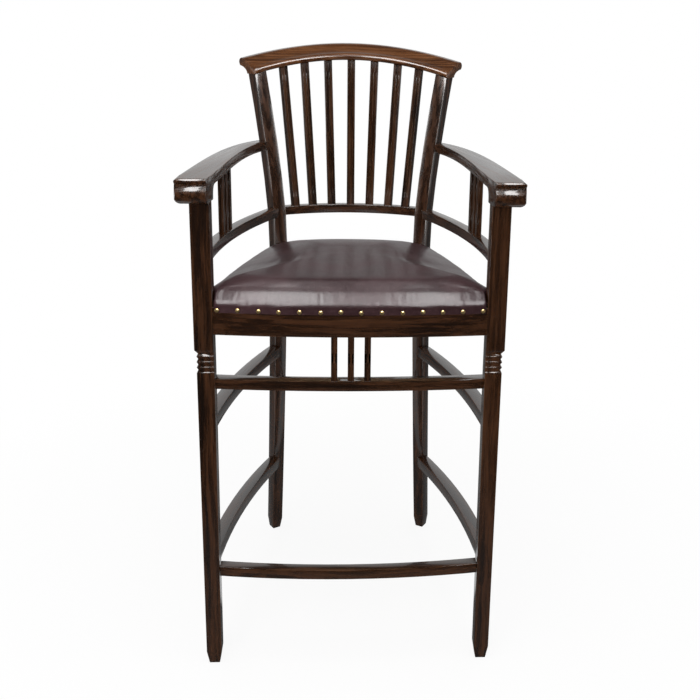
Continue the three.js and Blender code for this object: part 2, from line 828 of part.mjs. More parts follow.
// The origin is the middle of the stool's footprint on the floor
const extent = new THREE.Box3().setFromObject(stool);
stool.position.y = -(extent.min.y + extent.max.y) / 2;

export default stool;
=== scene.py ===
# %% [markdown]
# # A tall wooden bar stool with arms
# This lesson dresses a finished set of solids: a dark stained hardwood stool with a fanned slat
# back, flat arms, reeded front legs and a nailed leather seat. The solids give every size and
# place. The lesson adds what a maker's hand adds: softened arrises, hollow flutes, grain, a
# stuffed seat, brass nails and light.
# The model comes first, because every later cell measures it.

import math

import bmesh
import bpy
import numpy as np
from mathutils import Matrix, Vector, kdtree
from mathutils import noise as field
from mathutils.bvhtree import BVHTree


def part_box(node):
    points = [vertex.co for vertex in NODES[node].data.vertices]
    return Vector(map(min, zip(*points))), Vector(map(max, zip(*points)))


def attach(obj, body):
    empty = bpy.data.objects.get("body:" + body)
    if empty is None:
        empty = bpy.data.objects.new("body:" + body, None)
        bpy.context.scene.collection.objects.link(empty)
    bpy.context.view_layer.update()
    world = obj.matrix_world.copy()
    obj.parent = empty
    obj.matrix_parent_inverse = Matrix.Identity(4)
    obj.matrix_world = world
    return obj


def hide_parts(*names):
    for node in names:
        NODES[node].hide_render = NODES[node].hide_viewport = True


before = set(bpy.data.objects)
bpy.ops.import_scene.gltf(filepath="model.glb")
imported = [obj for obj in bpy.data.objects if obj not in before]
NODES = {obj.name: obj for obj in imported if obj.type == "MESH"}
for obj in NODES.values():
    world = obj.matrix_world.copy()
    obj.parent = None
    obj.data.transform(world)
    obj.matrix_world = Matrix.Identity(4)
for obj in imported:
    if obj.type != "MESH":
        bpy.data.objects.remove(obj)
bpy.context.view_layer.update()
MM = 0.001

# %% [markdown]
# ## The camera
# A camera can be placed by eye, or solved from points whose real sizes are known. Here it was
# solved: it stands a little under 1.7 m in front of the stool at a person's chest height and
# looks 15 degrees down. The picture was cropped off centre, and a lens shift repeats that.

# %% Place the camera
IMAGE = 700
SENSOR = 36
FOCAL_PIXELS = 968.23
CENTRE_U, CENTRE_V = 407.03, 283.43
YAW, PITCH, ROLL = 0.06642, 0.260557, 0.022862
CAMERA_PLACE = Vector((-0.01197, -1.98672, 1.23045))


def camera_turn(yaw, pitch, roll):
    ahead = Vector((math.sin(yaw) * math.cos(pitch), math.cos(yaw) * math.cos(pitch), -math.sin(pitch)))
    level = Vector((math.cos(yaw), -math.sin(yaw), 0))
    above = level.cross(ahead)
    right = level * math.cos(roll) + above * math.sin(roll)
    up = above * math.cos(roll) - level * math.sin(roll)
    return Matrix((right, up, -ahead)).transposed()


lens = bpy.data.cameras.new("studio_camera")
lens.sensor_width = SENSOR
lens.lens = FOCAL_PIXELS / IMAGE * SENSOR
lens.shift_x = (IMAGE / 2 - CENTRE_U) / IMAGE
lens.shift_y = (CENTRE_V - IMAGE / 2) / IMAGE
camera = bpy.data.objects.new("studio_camera", lens)
camera.matrix_world = Matrix.Translation(CAMERA_PLACE) @ camera_turn(YAW, PITCH, ROLL).to_4x4()
bpy.context.scene.collection.objects.link(camera)
bpy.context.scene.camera = camera
bpy.context.scene.view_settings.view_transform = "Standard"
print("Lens:", round(lens.lens, 2), "mm")

# %% [markdown]
# ## Helpers for meshes
# A few short helpers keep the later cells readable. One makes an object from points and faces, and
# one closes the sides between rings of points. One turns a modifier's result into a plain mesh,
# and one smooths the shading between faces that meet at a small angle.

# %% Mesh helpers
SMOOTH_ANGLE = math.radians(32)


def new_object(name, mesh):
    thing = bpy.data.objects.new(name, mesh)
    bpy.context.scene.collection.objects.link(thing)
    return thing


def mesh_from(name, points, faces):
    mesh = bpy.data.meshes.new(name)
    mesh.from_pydata([tuple(p) for p in points], [], faces)
    mesh.update()
    return mesh


def ring_faces(rings, count):
    """The side faces between rings of as many points each, one ring after another."""
    faces = []
    for i in range(rings - 1):
        for j in range(count):
            a, b = i * count + j, i * count + (j + 1) % count
            faces.append((a, b, b + count, a + count))
    return faces


def face_outwards(mesh):
    shell = bmesh.new()
    shell.from_mesh(mesh)
    bmesh.ops.recalc_face_normals(shell, faces=shell.faces)
    shell.to_mesh(mesh)
    shell.free()


def shade(mesh, angle=SMOOTH_ANGLE):
    mesh.shade_smooth()
    mesh.set_sharp_from_angle(angle=angle)


def settle(thing):
    """Replaces an object's mesh by what its modifiers make of it."""
    graph = bpy.context.evaluated_depsgraph_get()
    result = bpy.data.meshes.new_from_object(thing.evaluated_get(graph), depsgraph=graph)
    thing.modifiers.clear()
    thing.data = result
    return thing


def points_of(mesh):
    flat = np.empty(len(mesh.vertices) * 3, np.float32)
    mesh.vertices.foreach_get("co", flat)
    return flat.reshape(-1, 3)


def store_vectors(mesh, label, values):
    attribute = mesh.attributes.new(label, "FLOAT_VECTOR", "POINT")
    attribute.data.foreach_set("vector", np.asarray(values, np.float32).ravel())


def eased(value):
    """The value kept between 0 and 1, with a gentle start and end."""
    share = min(1.0, max(0.0, value))
    return share * share * (3 - 2 * share)


def hand_over(piece, material, *nodes):
    """Hangs the piece on the root body and hides the solids it stands for; material is not used."""
    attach(piece, "root")
    if nodes:
        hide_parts(*nodes)


print("Faces that meet at less than", round(math.degrees(SMOOTH_ANGLE)), "degrees are shaded smooth")

# %% [markdown]
# ## Grain that follows each piece
# Wood grain runs along a piece, whichever way the piece points. Each piece therefore carries its
# own coordinates: across, through and along, measured from its middle, and moved by a seeded
# amount so that no two pieces are cut from the same spot. A material reads them as the attribute
# "grain". One wood then serves an upright leg and a level rail alike.

# %% Store the grain coordinates
dice = np.random.default_rng(31)
GRAIN_SPREAD = 3.0
END_SHARE = 0.08
FRONT_TO_BACK = 0.8


def grain_axis(points):
    """The line between the middles of a piece's two ends."""
    low, high = points.min(0), points.max(0)
    longest = int(np.argmax(high - low))
    reach = (high - low)[longest] * END_SHARE
    start = points[points[:, longest] < low[longest] + reach].mean(0)
    end = points[points[:, longest] > high[longest] - reach].mean(0)
    along = end - start
    return along / np.linalg.norm(along)


def store_grain(mesh, axis=None):
    points = points_of(mesh)
    along = grain_axis(points) if axis is None else np.asarray(axis, np.float64)
    helper = np.array([0.0, 1.0, 0.0]) if abs(along[1]) < FRONT_TO_BACK else np.array([1.0, 0.0, 0.0])
    across = np.cross(helper, along)
    across /= np.linalg.norm(across)
    through = np.cross(along, across)
    local = (points - points.mean(0)) @ np.stack([across, through, along], 1)
    local += dice.uniform(-GRAIN_SPREAD, GRAIN_SPREAD, 3)
    store_vectors(mesh, "grain", local)


print("Each piece's grain is moved by up to", GRAIN_SPREAD, "m")

# %% [markdown]
# ## Shader helpers
# Node trees are easier to read when a short function adds one node and sets its sockets.

# %% Node helpers
def add_node(tree, kind, inputs=(), **settings):
    node = tree.nodes.new(kind)
    for key, value in settings.items():
        setattr(node, key, value)
    for key, value in dict(inputs).items():
        if isinstance(value, bpy.types.NodeSocket):
            tree.links.new(value, node.inputs[key])
        else:
            node.inputs[key].default_value = value
    return node


def maths(tree, operation, first, second=0.0, clamp=False):
    node = add_node(tree, "ShaderNodeMath", {0: first, 1: second}, operation=operation)
    node.use_clamp = clamp
    return node.outputs[0]


def vector_maths(tree, operation, first, second=(0, 0, 0)):
    return add_node(tree, "ShaderNodeVectorMath", {0: first, 1: second}, operation=operation).outputs[0]


def scaled(tree, vector, factor):
    node = add_node(tree, "ShaderNodeVectorMath", {0: vector, "Scale": factor}, operation="SCALE")
    return node.outputs[0]


def noise(tree, vector, scale, detail, roughness):
    node = add_node(tree, "ShaderNodeTexNoise", {
        "Vector": vector, "Scale": scale, "Detail": detail, "Roughness": roughness,
    })
    return node.outputs[0]


def mix_colour(tree, factor, first, second):
    """The second colour over the first, by the factor."""
    return add_node(tree, "ShaderNodeMix", {0: factor, 6: first, 7: second}, data_type="RGBA").outputs[2]


def mix_value(tree, factor, first, second):
    return add_node(tree, "ShaderNodeMix", {0: factor, 2: first, 3: second}, data_type="FLOAT").outputs[0]


def spread(tree, value, low, high, to_low=0.0, to_high=1.0):
    """Maps low to to_low and high to to_high, with a gentle start and end."""
    node = add_node(tree, "ShaderNodeMapRange", {
        "Value": value, "From Min": low, "From Max": high, "To Min": to_low, "To Max": to_high,
    }, interpolation_type="SMOOTHSTEP")
    return node.outputs[0]


def new_group(name, inputs, outputs):
    tree = bpy.data.node_groups.new(name, "ShaderNodeTree")
    for label, kind, value in inputs:
        socket = tree.interface.new_socket(name=label, in_out="INPUT", socket_type=kind)
        if value is not None:
            socket.default_value = value
    for label, kind in outputs:
        tree.interface.new_socket(name=label, in_out="OUTPUT", socket_type=kind)
    return tree, tree.nodes.new("NodeGroupInput"), tree.nodes.new("NodeGroupOutput")


def new_material(name, slot=None):
    material = bpy.data.materials.new(name)
    if slot:
        material["slot"] = slot
    material.use_nodes = True
    tree = material.node_tree
    tree.nodes.clear()
    surface = tree.nodes.new("ShaderNodeBsdfPrincipled")
    output = tree.nodes.new("ShaderNodeOutputMaterial")
    tree.links.new(surface.outputs[0], output.inputs[0])
    return material, tree, surface


def place_group(tree, group, inputs=()):
    return add_node(tree, "ShaderNodeGroup", inputs, node_tree=group)


print("Node helpers ready")

# %% [markdown]
# ## The grain itself
# Stained hardwood shows three things at once: broad bands where the stain took differently,
# streaks some millimetres wide that run with the wood, and fine dark pores. A wave texture could
# draw the bands, but it looks regular on narrow rails. Noise that is stretched along the grain
# keeps each streak different, so the group is built from three such noises. It gives a mask for
# the colour, one for the pores, and a height for the bump.

# %% Wood grain as a node group
def make_grain_group():
    tree, into, out = new_group("wood_grain", [
        ("Streak scale", "NodeSocketFloat", 120.0), ("Pore scale", "NodeSocketFloat", 900.0),
        ("Stretch", "NodeSocketFloat", 0.045), ("Wander", "NodeSocketFloat", 0.012),
    ], [("Band", "NodeSocketFloat"), ("Streak", "NodeSocketFloat"), ("Pore", "NodeSocketFloat"),
        ("Height", "NodeSocketFloat")])
    local = add_node(tree, "ShaderNodeAttribute", attribute_name="grain").outputs["Vector"]
    shift = add_node(tree, "ShaderNodeAttribute", attribute_name="shift").outputs["Vector"]
    place = vector_maths(tree, "ADD", local, shift)
    bend = add_node(tree, "ShaderNodeTexNoise", {"Vector": place, "Scale": 5.0, "Detail": 2.0}).outputs[1]
    bend = vector_maths(tree, "SUBTRACT", bend, (0.5, 0.5, 0.5))
    place = vector_maths(tree, "ADD", place, scaled(tree, bend, into.outputs["Wander"]))
    squeeze = add_node(tree, "ShaderNodeCombineXYZ", {"X": 1.0, "Y": 1.0, "Z": into.outputs["Stretch"]})
    long_place = vector_maths(tree, "MULTIPLY", place, squeeze.outputs[0])
    band = noise(tree, long_place, 26.0, 2.0, 0.45)
    streak = noise(tree, long_place, into.outputs["Streak scale"], 4.0, 0.62)
    pore = noise(tree, long_place, into.outputs["Pore scale"], 2.0, 0.5)
    pore_mask = spread(tree, pore, 0.56, 0.70)
    height = maths(tree, "SUBTRACT", maths(tree, "MULTIPLY", streak, 0.5), pore_mask)
    tree.links.new(spread(tree, band, 0.34, 0.66), out.inputs["Band"])
    tree.links.new(spread(tree, streak, 0.36, 0.68), out.inputs["Streak"])
    tree.links.new(pore_mask, out.inputs["Pore"])
    tree.links.new(height, out.inputs["Height"])
    return tree


GRAIN = make_grain_group()
print("Grain group:", len(GRAIN.nodes), "nodes")

# %% [markdown]
# ## Worn arrises, with a painted highlight
# Hands, boots and cleaning cloths rub the stain off the arrises first. The lighter colour there also
# stands in for the thin highlight that each arris catches, so it is wear and a painted highlight.
# A bevel node compares the real normal with one that is rounded over a small radius: where they
# differ there is an edge. Noise breaks the result up, because wear is never even.

# %% Edge wear and painted highlight as a node group
def make_wear_and_highlight_group():
    tree, into, out = new_group("edge_wear", [
        ("Radius", "NodeSocketFloat", 0.002), ("Amount", "NodeSocketFloat", 0.6),
        ("Patch scale", "NodeSocketFloat", 18.0),
    ], [("Mask", "NodeSocketFloat")])
    # The mask marks the arrises for wear and for a painted highlight on them.
    rounded = add_node(tree, "ShaderNodeBevel", {"Radius": into.outputs["Radius"]}, samples=4)
    plain = add_node(tree, "ShaderNodeNewGeometry")
    match = add_node(tree, "ShaderNodeVectorMath", {0: rounded.outputs[0], 1: plain.outputs["Normal"]},
                     operation="DOT_PRODUCT").outputs["Value"]
    edge = spread(tree, maths(tree, "SUBTRACT", 1.0, match), 0.02, 0.16)
    place = add_node(tree, "ShaderNodeTexCoord").outputs["Object"]
    patches = spread(tree, noise(tree, place, into.outputs["Patch scale"], 4.0, 0.6), 0.35, 0.65)
    worn_and_highlit = maths(tree, "MULTIPLY", edge, patches)
    mask = maths(tree, "MULTIPLY", worn_and_highlit, into.outputs["Amount"], clamp=True)
    tree.links.new(mask, out.inputs["Mask"])
    return tree


EDGE_WEAR_AND_HIGHLIGHT = make_wear_and_highlight_group()
print("Wear group:", len(EDGE_WEAR_AND_HIGHLIGHT.nodes), "nodes")

# %% [markdown]
# ## Three woods
# The frame is stained almost black and lacquered to a semi-gloss. The crest rail took less stain
# and shows chestnut brown. Inside the seat the wood was left bare. One function makes all three
# from the same two groups. The lacquer is a thin clear coat on the shader itself.

# %% Wood materials
STAINED_ROUGHNESS, BARE_ROUGHNESS, STREAK_ROUGHNESS = 0.24, 0.7, 0.1
LACQUER, NO_LACQUER, LACQUER_ROUGHNESS = 0.9, 0.0, 0.08
# How much of the worn colour the arrises take: it is wear and a painted highlight.
USED_WEAR_AND_HIGHLIGHT, HIDDEN_WEAR_AND_HIGHLIGHT = 0.7, 0.2
DARK_STAIN = ((0.006, 0.0024, 0.0011, 1), (0.018, 0.0060, 0.0016, 1), (0.066, 0.021, 0.0042, 1))
CHESTNUT_STAIN = ((0.040, 0.0125, 0.0035, 1), (0.085, 0.028, 0.0075, 1), (0.17, 0.062, 0.016, 1))
BARE_WOOD = ((0.25, 0.15, 0.08, 1), (0.38, 0.25, 0.14, 1), (0.50, 0.36, 0.21, 1))
# Lighter colours for the arrises: partly wear, partly a painted highlight.
DARK_WEAR_AND_HIGHLIGHT, CHESTNUT_WEAR_AND_HIGHLIGHT, BARE_WEAR_AND_HIGHLIGHT = (0.18, 0.09, 0.045, 1), (0.32, 0.18, 0.11, 1), (0.55, 0.42, 0.28, 1)


def make_wood(name, slot, colours, roughness, lacquer, worn_and_highlit, wear_and_highlight):
    """Colours are the dark, middle and light of the grain; the worn colour shows at the edges as wear and a
    painted highlight.
    """
    dark, middle, light = colours
    material, tree, surface = new_material(name, slot)
    grain = place_group(tree, GRAIN)
    edge = place_group(tree, EDGE_WEAR_AND_HIGHLIGHT, {"Amount": wear_and_highlight})
    body = mix_colour(tree, grain.outputs["Band"], dark, middle)
    body = mix_colour(tree, maths(tree, "MULTIPLY", grain.outputs["Streak"], 0.75), body, light)
    body = mix_colour(tree, maths(tree, "MULTIPLY", grain.outputs["Pore"], 0.7), body, dark)
    # Lighter arrises: wear, and a painted highlight where the rounded edge would catch the light.
    body = mix_colour(tree, edge.outputs["Mask"], body, worn_and_highlit)
    tree.links.new(body, surface.inputs["Base Color"])
    rough = spread(tree, grain.outputs["Streak"], 0.0, 1.0, roughness, roughness + STREAK_ROUGHNESS)
    tree.links.new(rough, surface.inputs["Roughness"])
    bump = add_node(tree, "ShaderNodeBump", {
        "Strength": 0.08, "Distance": 0.0003, "Height": grain.outputs["Height"]})
    tree.links.new(bump.outputs[0], surface.inputs["Normal"])
    surface.inputs["Coat Weight"].default_value = lacquer
    surface.inputs["Coat Roughness"].default_value = LACQUER_ROUGHNESS
    surface.inputs["Specular IOR Level"].default_value = 0.4
    return material


DARK_WOOD = make_wood("stained_hardwood", "dark_wood", DARK_STAIN, STAINED_ROUGHNESS, LACQUER,
                      DARK_WEAR_AND_HIGHLIGHT, USED_WEAR_AND_HIGHLIGHT)
CREST_WOOD = make_wood("chestnut_hardwood", "crest_wood", CHESTNUT_STAIN, STAINED_ROUGHNESS, LACQUER,
                       CHESTNUT_WEAR_AND_HIGHLIGHT, USED_WEAR_AND_HIGHLIGHT)
INNER_WOOD = make_wood("bare_wood", "inner_wood", BARE_WOOD, BARE_ROUGHNESS, NO_LACQUER,
                       BARE_WEAR_AND_HIGHLIGHT, HIDDEN_WEAR_AND_HIGHLIGHT)
print("Woods:", DARK_WOOD.name, CREST_WOOD.name, INNER_WOOD.name)

# %% [markdown]
# ## Wood pieces with softened arrises
# No maker leaves a razor-sharp arris: a pass with sandpaper takes it off, and that thin round is
# what catches the light along every edge in the studio. The solids are drawn with sharp edges.
# Each is copied, its doubled points are merged, its flat faces are joined, and its sharp outer
# edges are rounded. A bevel modifier would round the mouths of the mortises too, so a ray from
# each face first finds out whether it looks at another one close by. The solid itself stays
# untouched, and the copy stands for it.

# %% Copy, clean and round a solid
MERGE = 1e-6
FLAT = math.radians(0.05)
ARRIS_ANGLE = math.radians(33)
NUDGE, MORTISE_REACH = 0.05 * MM, 45 * MM
ARRIS_SEGMENTS = 2


def cleaned_copy(node):
    shell = bmesh.new()
    shell.from_mesh(NODES[node].data)
    bmesh.ops.remove_doubles(shell, verts=shell.verts, dist=MERGE)
    bmesh.ops.dissolve_limit(shell, angle_limit=FLAT, verts=shell.verts, edges=shell.edges)
    mesh = bpy.data.meshes.new(node + "_wood")
    shell.to_mesh(mesh)
    shell.free()
    return mesh


def round_arrises(mesh, arris):
    """Rounds the sharp outer edges; mortises and grooves, where faces look at each other, stay crisp."""
    shell = bmesh.new()
    shell.from_mesh(mesh)
    shell.faces.ensure_lookup_table()
    tree = BVHTree.FromBMesh(shell)
    facing = []
    for face in shell.faces:
        start = face.calc_center_median() + face.normal * NUDGE
        facing.append(tree.ray_cast(start, face.normal, MORTISE_REACH)[0] is not None)
    sharp = [edge for edge in shell.edges if len(edge.link_faces) == 2 and edge.is_convex
             and edge.calc_face_angle() > ARRIS_ANGLE]
    outer = [edge for edge in sharp if not any(facing[face.index] for face in edge.link_faces)]
    bmesh.ops.bevel(shell, geom=outer, offset=arris, offset_type="OFFSET", segments=ARRIS_SEGMENTS,
                    profile=0.5, affect="EDGES", clamp_overlap=False, miter_outer="ARC")
    shell.to_mesh(mesh)
    shell.free()


def wooden(node, material, arris, axis=None):
    mesh = cleaned_copy(node)
    round_arrises(mesh, arris)
    mesh.materials.append(material)
    piece = new_object(node + "_wood", mesh)
    shade(piece.data)
    store_grain(piece.data, axis)
    hand_over(piece, material, node)
    return piece


print("Outer edges of more than", round(math.degrees(ARRIS_ANGLE)), "degrees are rounded")

# %% Round every rail, leg and arm
SIDES = ("left", "right")
PAIRED = {"front_leg": 0.8, "back_post": 1.2, "side_seat_rail": 1.0, "upper_side_stretcher": 1.4,
          "lower_side_stretcher": 1.4, "armrest": 1.6, "arm_rail": 1.2}
SINGLE = {"front_seat_rail": 1.0, "back_seat_rail": 1.0, "front_upper_stretcher": 1.2,
          "foot_rail": 1.4, "lower_back_rail": 1.2}
CREST_ARRIS, INNER_ARRIS = 1.0, 0.5
ARRISES = {f"{name}_{side}": size for name, size in PAIRED.items() for side in SIDES} | SINGLE
wood = {node: wooden(node, DARK_WOOD, size * MM) for node, size in ARRISES.items()}
wood["crest_rail"] = wooden("crest_rail", CREST_WOOD, CREST_ARRIS * MM, axis=(1, 0, 0))
BLOCK_NODES = [f"{end}_corner_block_{side}" for end in ("front", "back") for side in SIDES]
for node in ["seat_board"] + BLOCK_NODES:
    wood[node] = wooden(node, INNER_WOOD, INNER_ARRIS * MM)
print("Wood pieces:", len(wood), "faces:", sum(len(p.data.polygons) for p in wood.values()))

# %% [markdown]
# ## One tree that sets out repeats
# Slats, spindles and screws are one shape many times. Copying them by hand would fix their number
# for good. A geometry node tree instead puts one piece on every point of a setting-out mesh. Each
# point carries its turn and its size as attributes, and the tree adds a seeded shift so that the
# grain of no two pieces is alike.

# %% The setting-out tree
def new_geometry_tree(name, inputs):
    tree = bpy.data.node_groups.new(name, "GeometryNodeTree")
    tree.interface.new_socket(name="Geometry", in_out="INPUT", socket_type="NodeSocketGeometry")
    for label, kind, value in inputs:
        socket = tree.interface.new_socket(name=label, in_out="INPUT", socket_type=kind)
        if value is not None:
            socket.default_value = value
    tree.interface.new_socket(name="Geometry", in_out="OUTPUT", socket_type="NodeSocketGeometry")
    return tree, tree.nodes.new("NodeGroupInput"), tree.nodes.new("NodeGroupOutput")


def finish_tree(tree, instances, into, out):
    """Ends a tree as plain geometry that wears the given material."""
    real = add_node(tree, "GeometryNodeRealizeInstances", {0: instances})
    dressed = add_node(tree, "GeometryNodeSetMaterial", {
        "Geometry": real.outputs[0], "Material": into.outputs["Material"]})
    tree.links.new(dressed.outputs[0], out.inputs[0])


def random_vector(tree, low, high, seed):
    """A different vector for each piece, between low and high on every axis."""
    node = add_node(tree, "FunctionNodeRandomValue", {
        "Min": (low,) * 3, "Max": (high,) * 3, "Seed": seed}, data_type="FLOAT_VECTOR")
    return node.outputs[0]


def named(tree, label):
    node = add_node(tree, "GeometryNodeInputNamedAttribute", {"Name": label}, data_type="FLOAT_VECTOR")
    return node.outputs[0]


def make_setting_out():
    tree, into, out = new_geometry_tree("setting_out", [
        ("Piece", "NodeSocketObject", None), ("Seed", "NodeSocketInt", 1),
        ("Material", "NodeSocketMaterial", None),
    ])
    piece = add_node(tree, "GeometryNodeObjectInfo", {"Object": into.outputs["Piece"]})
    turn = add_node(tree, "FunctionNodeEulerToRotation", {0: named(tree, "turn")})
    placed = add_node(tree, "GeometryNodeInstanceOnPoints", {
        "Points": into.outputs["Geometry"], "Instance": piece.outputs["Geometry"],
        "Rotation": turn.outputs[0], "Scale": named(tree, "size"),
    })
    shift = random_vector(tree, -GRAIN_SPREAD, GRAIN_SPREAD, into.outputs["Seed"])
    marked = add_node(tree, "GeometryNodeStoreNamedAttribute", {
        "Geometry": placed.outputs[0], "Name": "shift", "Value": shift,
    }, data_type="FLOAT_VECTOR", domain="INSTANCE")
    finish_tree(tree, marked.outputs[0], into, out)
    return tree


SETTING_OUT = make_setting_out()
print("Setting-out tree:", len(SETTING_OUT.nodes), "nodes")


# %% Run a tree on a setting-out mesh
def run_tree(thing, tree, **values):
    """Sets a tree's inputs by their identifiers, then turns the result into a plain mesh."""
    modifier = thing.modifiers.new(tree.name, "NODES")
    modifier.node_group = tree
    for item in tree.interface.items_tree:
        key = item.name.lower().replace(" ", "_")
        if item.in_out == "INPUT" and key in values:
            modifier[item.identifier] = values[key]
    return settle(thing)


def set_out(name, places, piece, material, seed, stands_for):
    """Places are (foot, turn as a matrix, size)."""
    feet, turns, sizes = zip(*places)
    mesh = mesh_from(name, feet, [])
    store_vectors(mesh, "turn", [tuple(turn.to_euler()) for turn in turns])
    store_vectors(mesh, "size", sizes)
    result = run_tree(new_object(name, mesh), SETTING_OUT, piece=piece, seed=seed, material=material)
    shade(result.data)
    hand_over(result, material, *stands_for)
    return result


print("Inputs of the tree:", [item.name for item in SETTING_OUT.interface.items_tree])

# %% [markdown]
# ## A fluted bar
# The spindles under the arms are square bars with one hollow flute down the middle of two faces.
# The slats of the back have two flutes side by side, with a bead between them. The cutter is
# lifted out slowly, so a flute fades away before it reaches the rails. Boolean cuts could do this,
# but a skin drawn from sections keeps the mesh tidy: each section is a rounded rectangle whose
# face sinks at the flute, by more or less along the bar.

# %% Draw a fluted bar of unit length
FLUTE_SAMPLES = 17
ARRIS_SAMPLES = 4
RUN_OUT_STEPS = 8


def fluted_section(width, depth, arris, flute_width, flute_depth, bead):
    """One hollow in each broad face, or two with a bead between them."""
    half_w, half_d = width / 2, depth / 2
    corner = [math.pi / 2 * i / ARRIS_SAMPLES for i in range(ARRIS_SAMPLES + 1)]
    face = [(-half_w + arris - arris * math.cos(a), -half_d + arris - arris * math.sin(a)) for a in corner]
    for i in range(FLUTE_SAMPLES):
        across = -1 + 2 * i / (FLUTE_SAMPLES - 1)
        hollow = math.sin(math.pi * across) ** 2 if bead else math.sqrt(max(0.0, 1 - across * across))
        face.append((across * flute_width / 2, -half_d + flute_depth * hollow))
    face += [(half_w - arris + arris * math.sin(a), -half_d + arris - arris * math.cos(a)) for a in corner]
    back = [(-x, -y) for x, y in face]
    return face + back


def fluted_bar(name, length, width, depth, arris, flute_width, flute_depth, stop, run_out, bead=False):
    """A bar that is one unit long, so that each place can give it its own length.

    Each half has its own run-out. On a bar too short for both, they overlap in the middle.
    """
    half = [0.0] + [stop + run_out * i / RUN_OUT_STEPS for i in range(RUN_OUT_STEPS + 1)]
    rings = []
    for station in half + [length - place for place in reversed(half)]:
        sink = flute_depth * eased((min(station, length - station) - stop) / run_out)
        section = fluted_section(width, depth, arris, flute_width, sink, bead)
        rings.append([(x, y, station / length) for x, y in section])
    count = len(rings[0])
    points = [point for ring in rings for point in ring]
    ends = [tuple(reversed(range(count))), tuple(range(len(points) - count, len(points)))]
    mesh = mesh_from(name, points, ends + ring_faces(len(rings), count))
    face_outwards(mesh)
    shade(mesh)
    store_vectors(mesh, "grain", points_of(mesh) * np.array([1, 1, length]))
    return new_object(name, mesh)


print("Points round a fluted bar:", 2 * (FLUTE_SAMPLES + 2 * (ARRIS_SAMPLES + 1)))

# %% [markdown]
# ## The fanned slat back
# This is the most skilled work in the stool. The two posts lean back and spread as they rise, so
# the lower rail and the crest rail lie on arcs of different size, and every slat leans and turns
# by its own angle to meet both square. The setting-out follows the solids: the two ends of each
# slat are measured, and its face is turned towards the middle of the bow. The slats are drawn 1 mm
# wider on each side than their solids, because the real ones look that wide.

# %% Set out the slats
SLAT_WIDTH, SLAT_DEPTH = 17.5 * MM, 13 * MM
FLUTE_WIDTH, FLUTE_DEPTH = 13 * MM, 2.8 * MM
SLAT_ARRIS = 1.4 * MM
HOUSED, FLUTE_STOP, RUN_OUT = 10 * MM, 8 * MM, 40 * MM
POST_TURN = math.radians(31)
BAR_END_SHARE = 0.04
SLAT_SEED = 11
SLAT_SHARES = (-0.73, -0.498, -0.248, 0, 0.248, 0.498, 0.73)


def end_middles(node):
    """The middles of a bar's lower and upper end faces."""
    points = points_of(NODES[node].data)
    foot_level, top_level = points[:, 2].min(), points[:, 2].max()
    reach = (top_level - foot_level) * BAR_END_SHARE
    low = points[points[:, 2] < foot_level + reach]
    high = points[points[:, 2] > top_level - reach]
    return Vector((low.min(0) + low.max(0)) / 2), Vector((high.min(0) + high.max(0)) / 2)


def bar_place(node, face_turn):
    """Where a bar stands, how it leans and turns, and its length as its size along Z."""
    foot, head = end_middles(node)
    along = (head - foot).normalized()
    across = Vector((math.cos(face_turn), -math.sin(face_turn), 0))
    across = (across - along * across.dot(along)).normalized()
    turn = Matrix((across, along.cross(across), along)).transposed()
    return foot, turn, (1, 1, (head - foot).length)


slat_nodes = [f"back_slat_{i + 1}" for i in range(len(SLAT_SHARES))]
slat_places = [bar_place(node, share * POST_TURN) for node, share in zip(slat_nodes, SLAT_SHARES)]
slat_length = slat_places[len(slat_places) // 2][2][2]
one_slat = fluted_bar("one_slat", slat_length, SLAT_WIDTH, SLAT_DEPTH, SLAT_ARRIS,
                      FLUTE_WIDTH, FLUTE_DEPTH, HOUSED + FLUTE_STOP, RUN_OUT, bead=True)
slats = set_out("back_slats", slat_places, one_slat, DARK_WOOD, SLAT_SEED, slat_nodes)
print("Slats:", len(slat_places), "faces:", len(slats.data.polygons))

# %% [markdown]
# ## Spindles
# Three slimmer spindles stand side by side under each arm, and three more join the upper front
# stretcher to the seat rail. They are the same fluted bar in another size, with a single flute.

# %% Set out the spindles
SPINDLE_ARRIS, SPINDLE_FLUTE, SPINDLE_STOP = 1.2 * MM, 4 * MM, 12 * MM
ARM_SPINDLE, ARM_FLUTE_DEPTH = 10.5 * MM, 1.8 * MM
FRONT_SPINDLE, FRONT_FLUTE_DEPTH = 11.6 * MM, 1.6 * MM
ARM_SEED, FRONT_SEED = 12, 13
arm_nodes = [f"arm_spindle_{i}_{side}" for side in SIDES for i in (1, 2, 3)]
front_nodes = [f"front_spindle_{i}" for i in (1, 2, 3)]


def rail_turn(side):
    """The turn of an arm rail at its spindles, seen from above."""
    first, last = (end_middles(f"arm_spindle_{i}_{side}")[0] for i in (1, 3))
    run = last - first
    return math.atan2(-run.y, run.x) + math.pi / 2


def square_spindle(name, length, thick, flute_depth):
    return fluted_bar(name, length, thick, thick, SPINDLE_ARRIS, SPINDLE_FLUTE, flute_depth,
                      HOUSED + SPINDLE_STOP, RUN_OUT)


arm_places = [bar_place(node, rail_turn(node.rsplit("_", 1)[1])) for node in arm_nodes]
front_places = [bar_place(node, 0.0) for node in front_nodes]
one_arm_spindle = square_spindle("one_arm_spindle", arm_places[0][2][2], ARM_SPINDLE, ARM_FLUTE_DEPTH)
one_front_spindle = square_spindle("one_front_spindle", front_places[0][2][2], FRONT_SPINDLE,
                                   FRONT_FLUTE_DEPTH)
set_out("arm_spindles", arm_places, one_arm_spindle, DARK_WOOD, ARM_SEED, arm_nodes)
set_out("front_spindles", front_places, one_front_spindle, DARK_WOOD, FRONT_SEED, front_nodes)
for pattern in (one_slat, one_arm_spindle, one_front_spindle):
    bpy.data.objects.remove(pattern)
print("Spindles:", len(arm_places) + len(front_places))

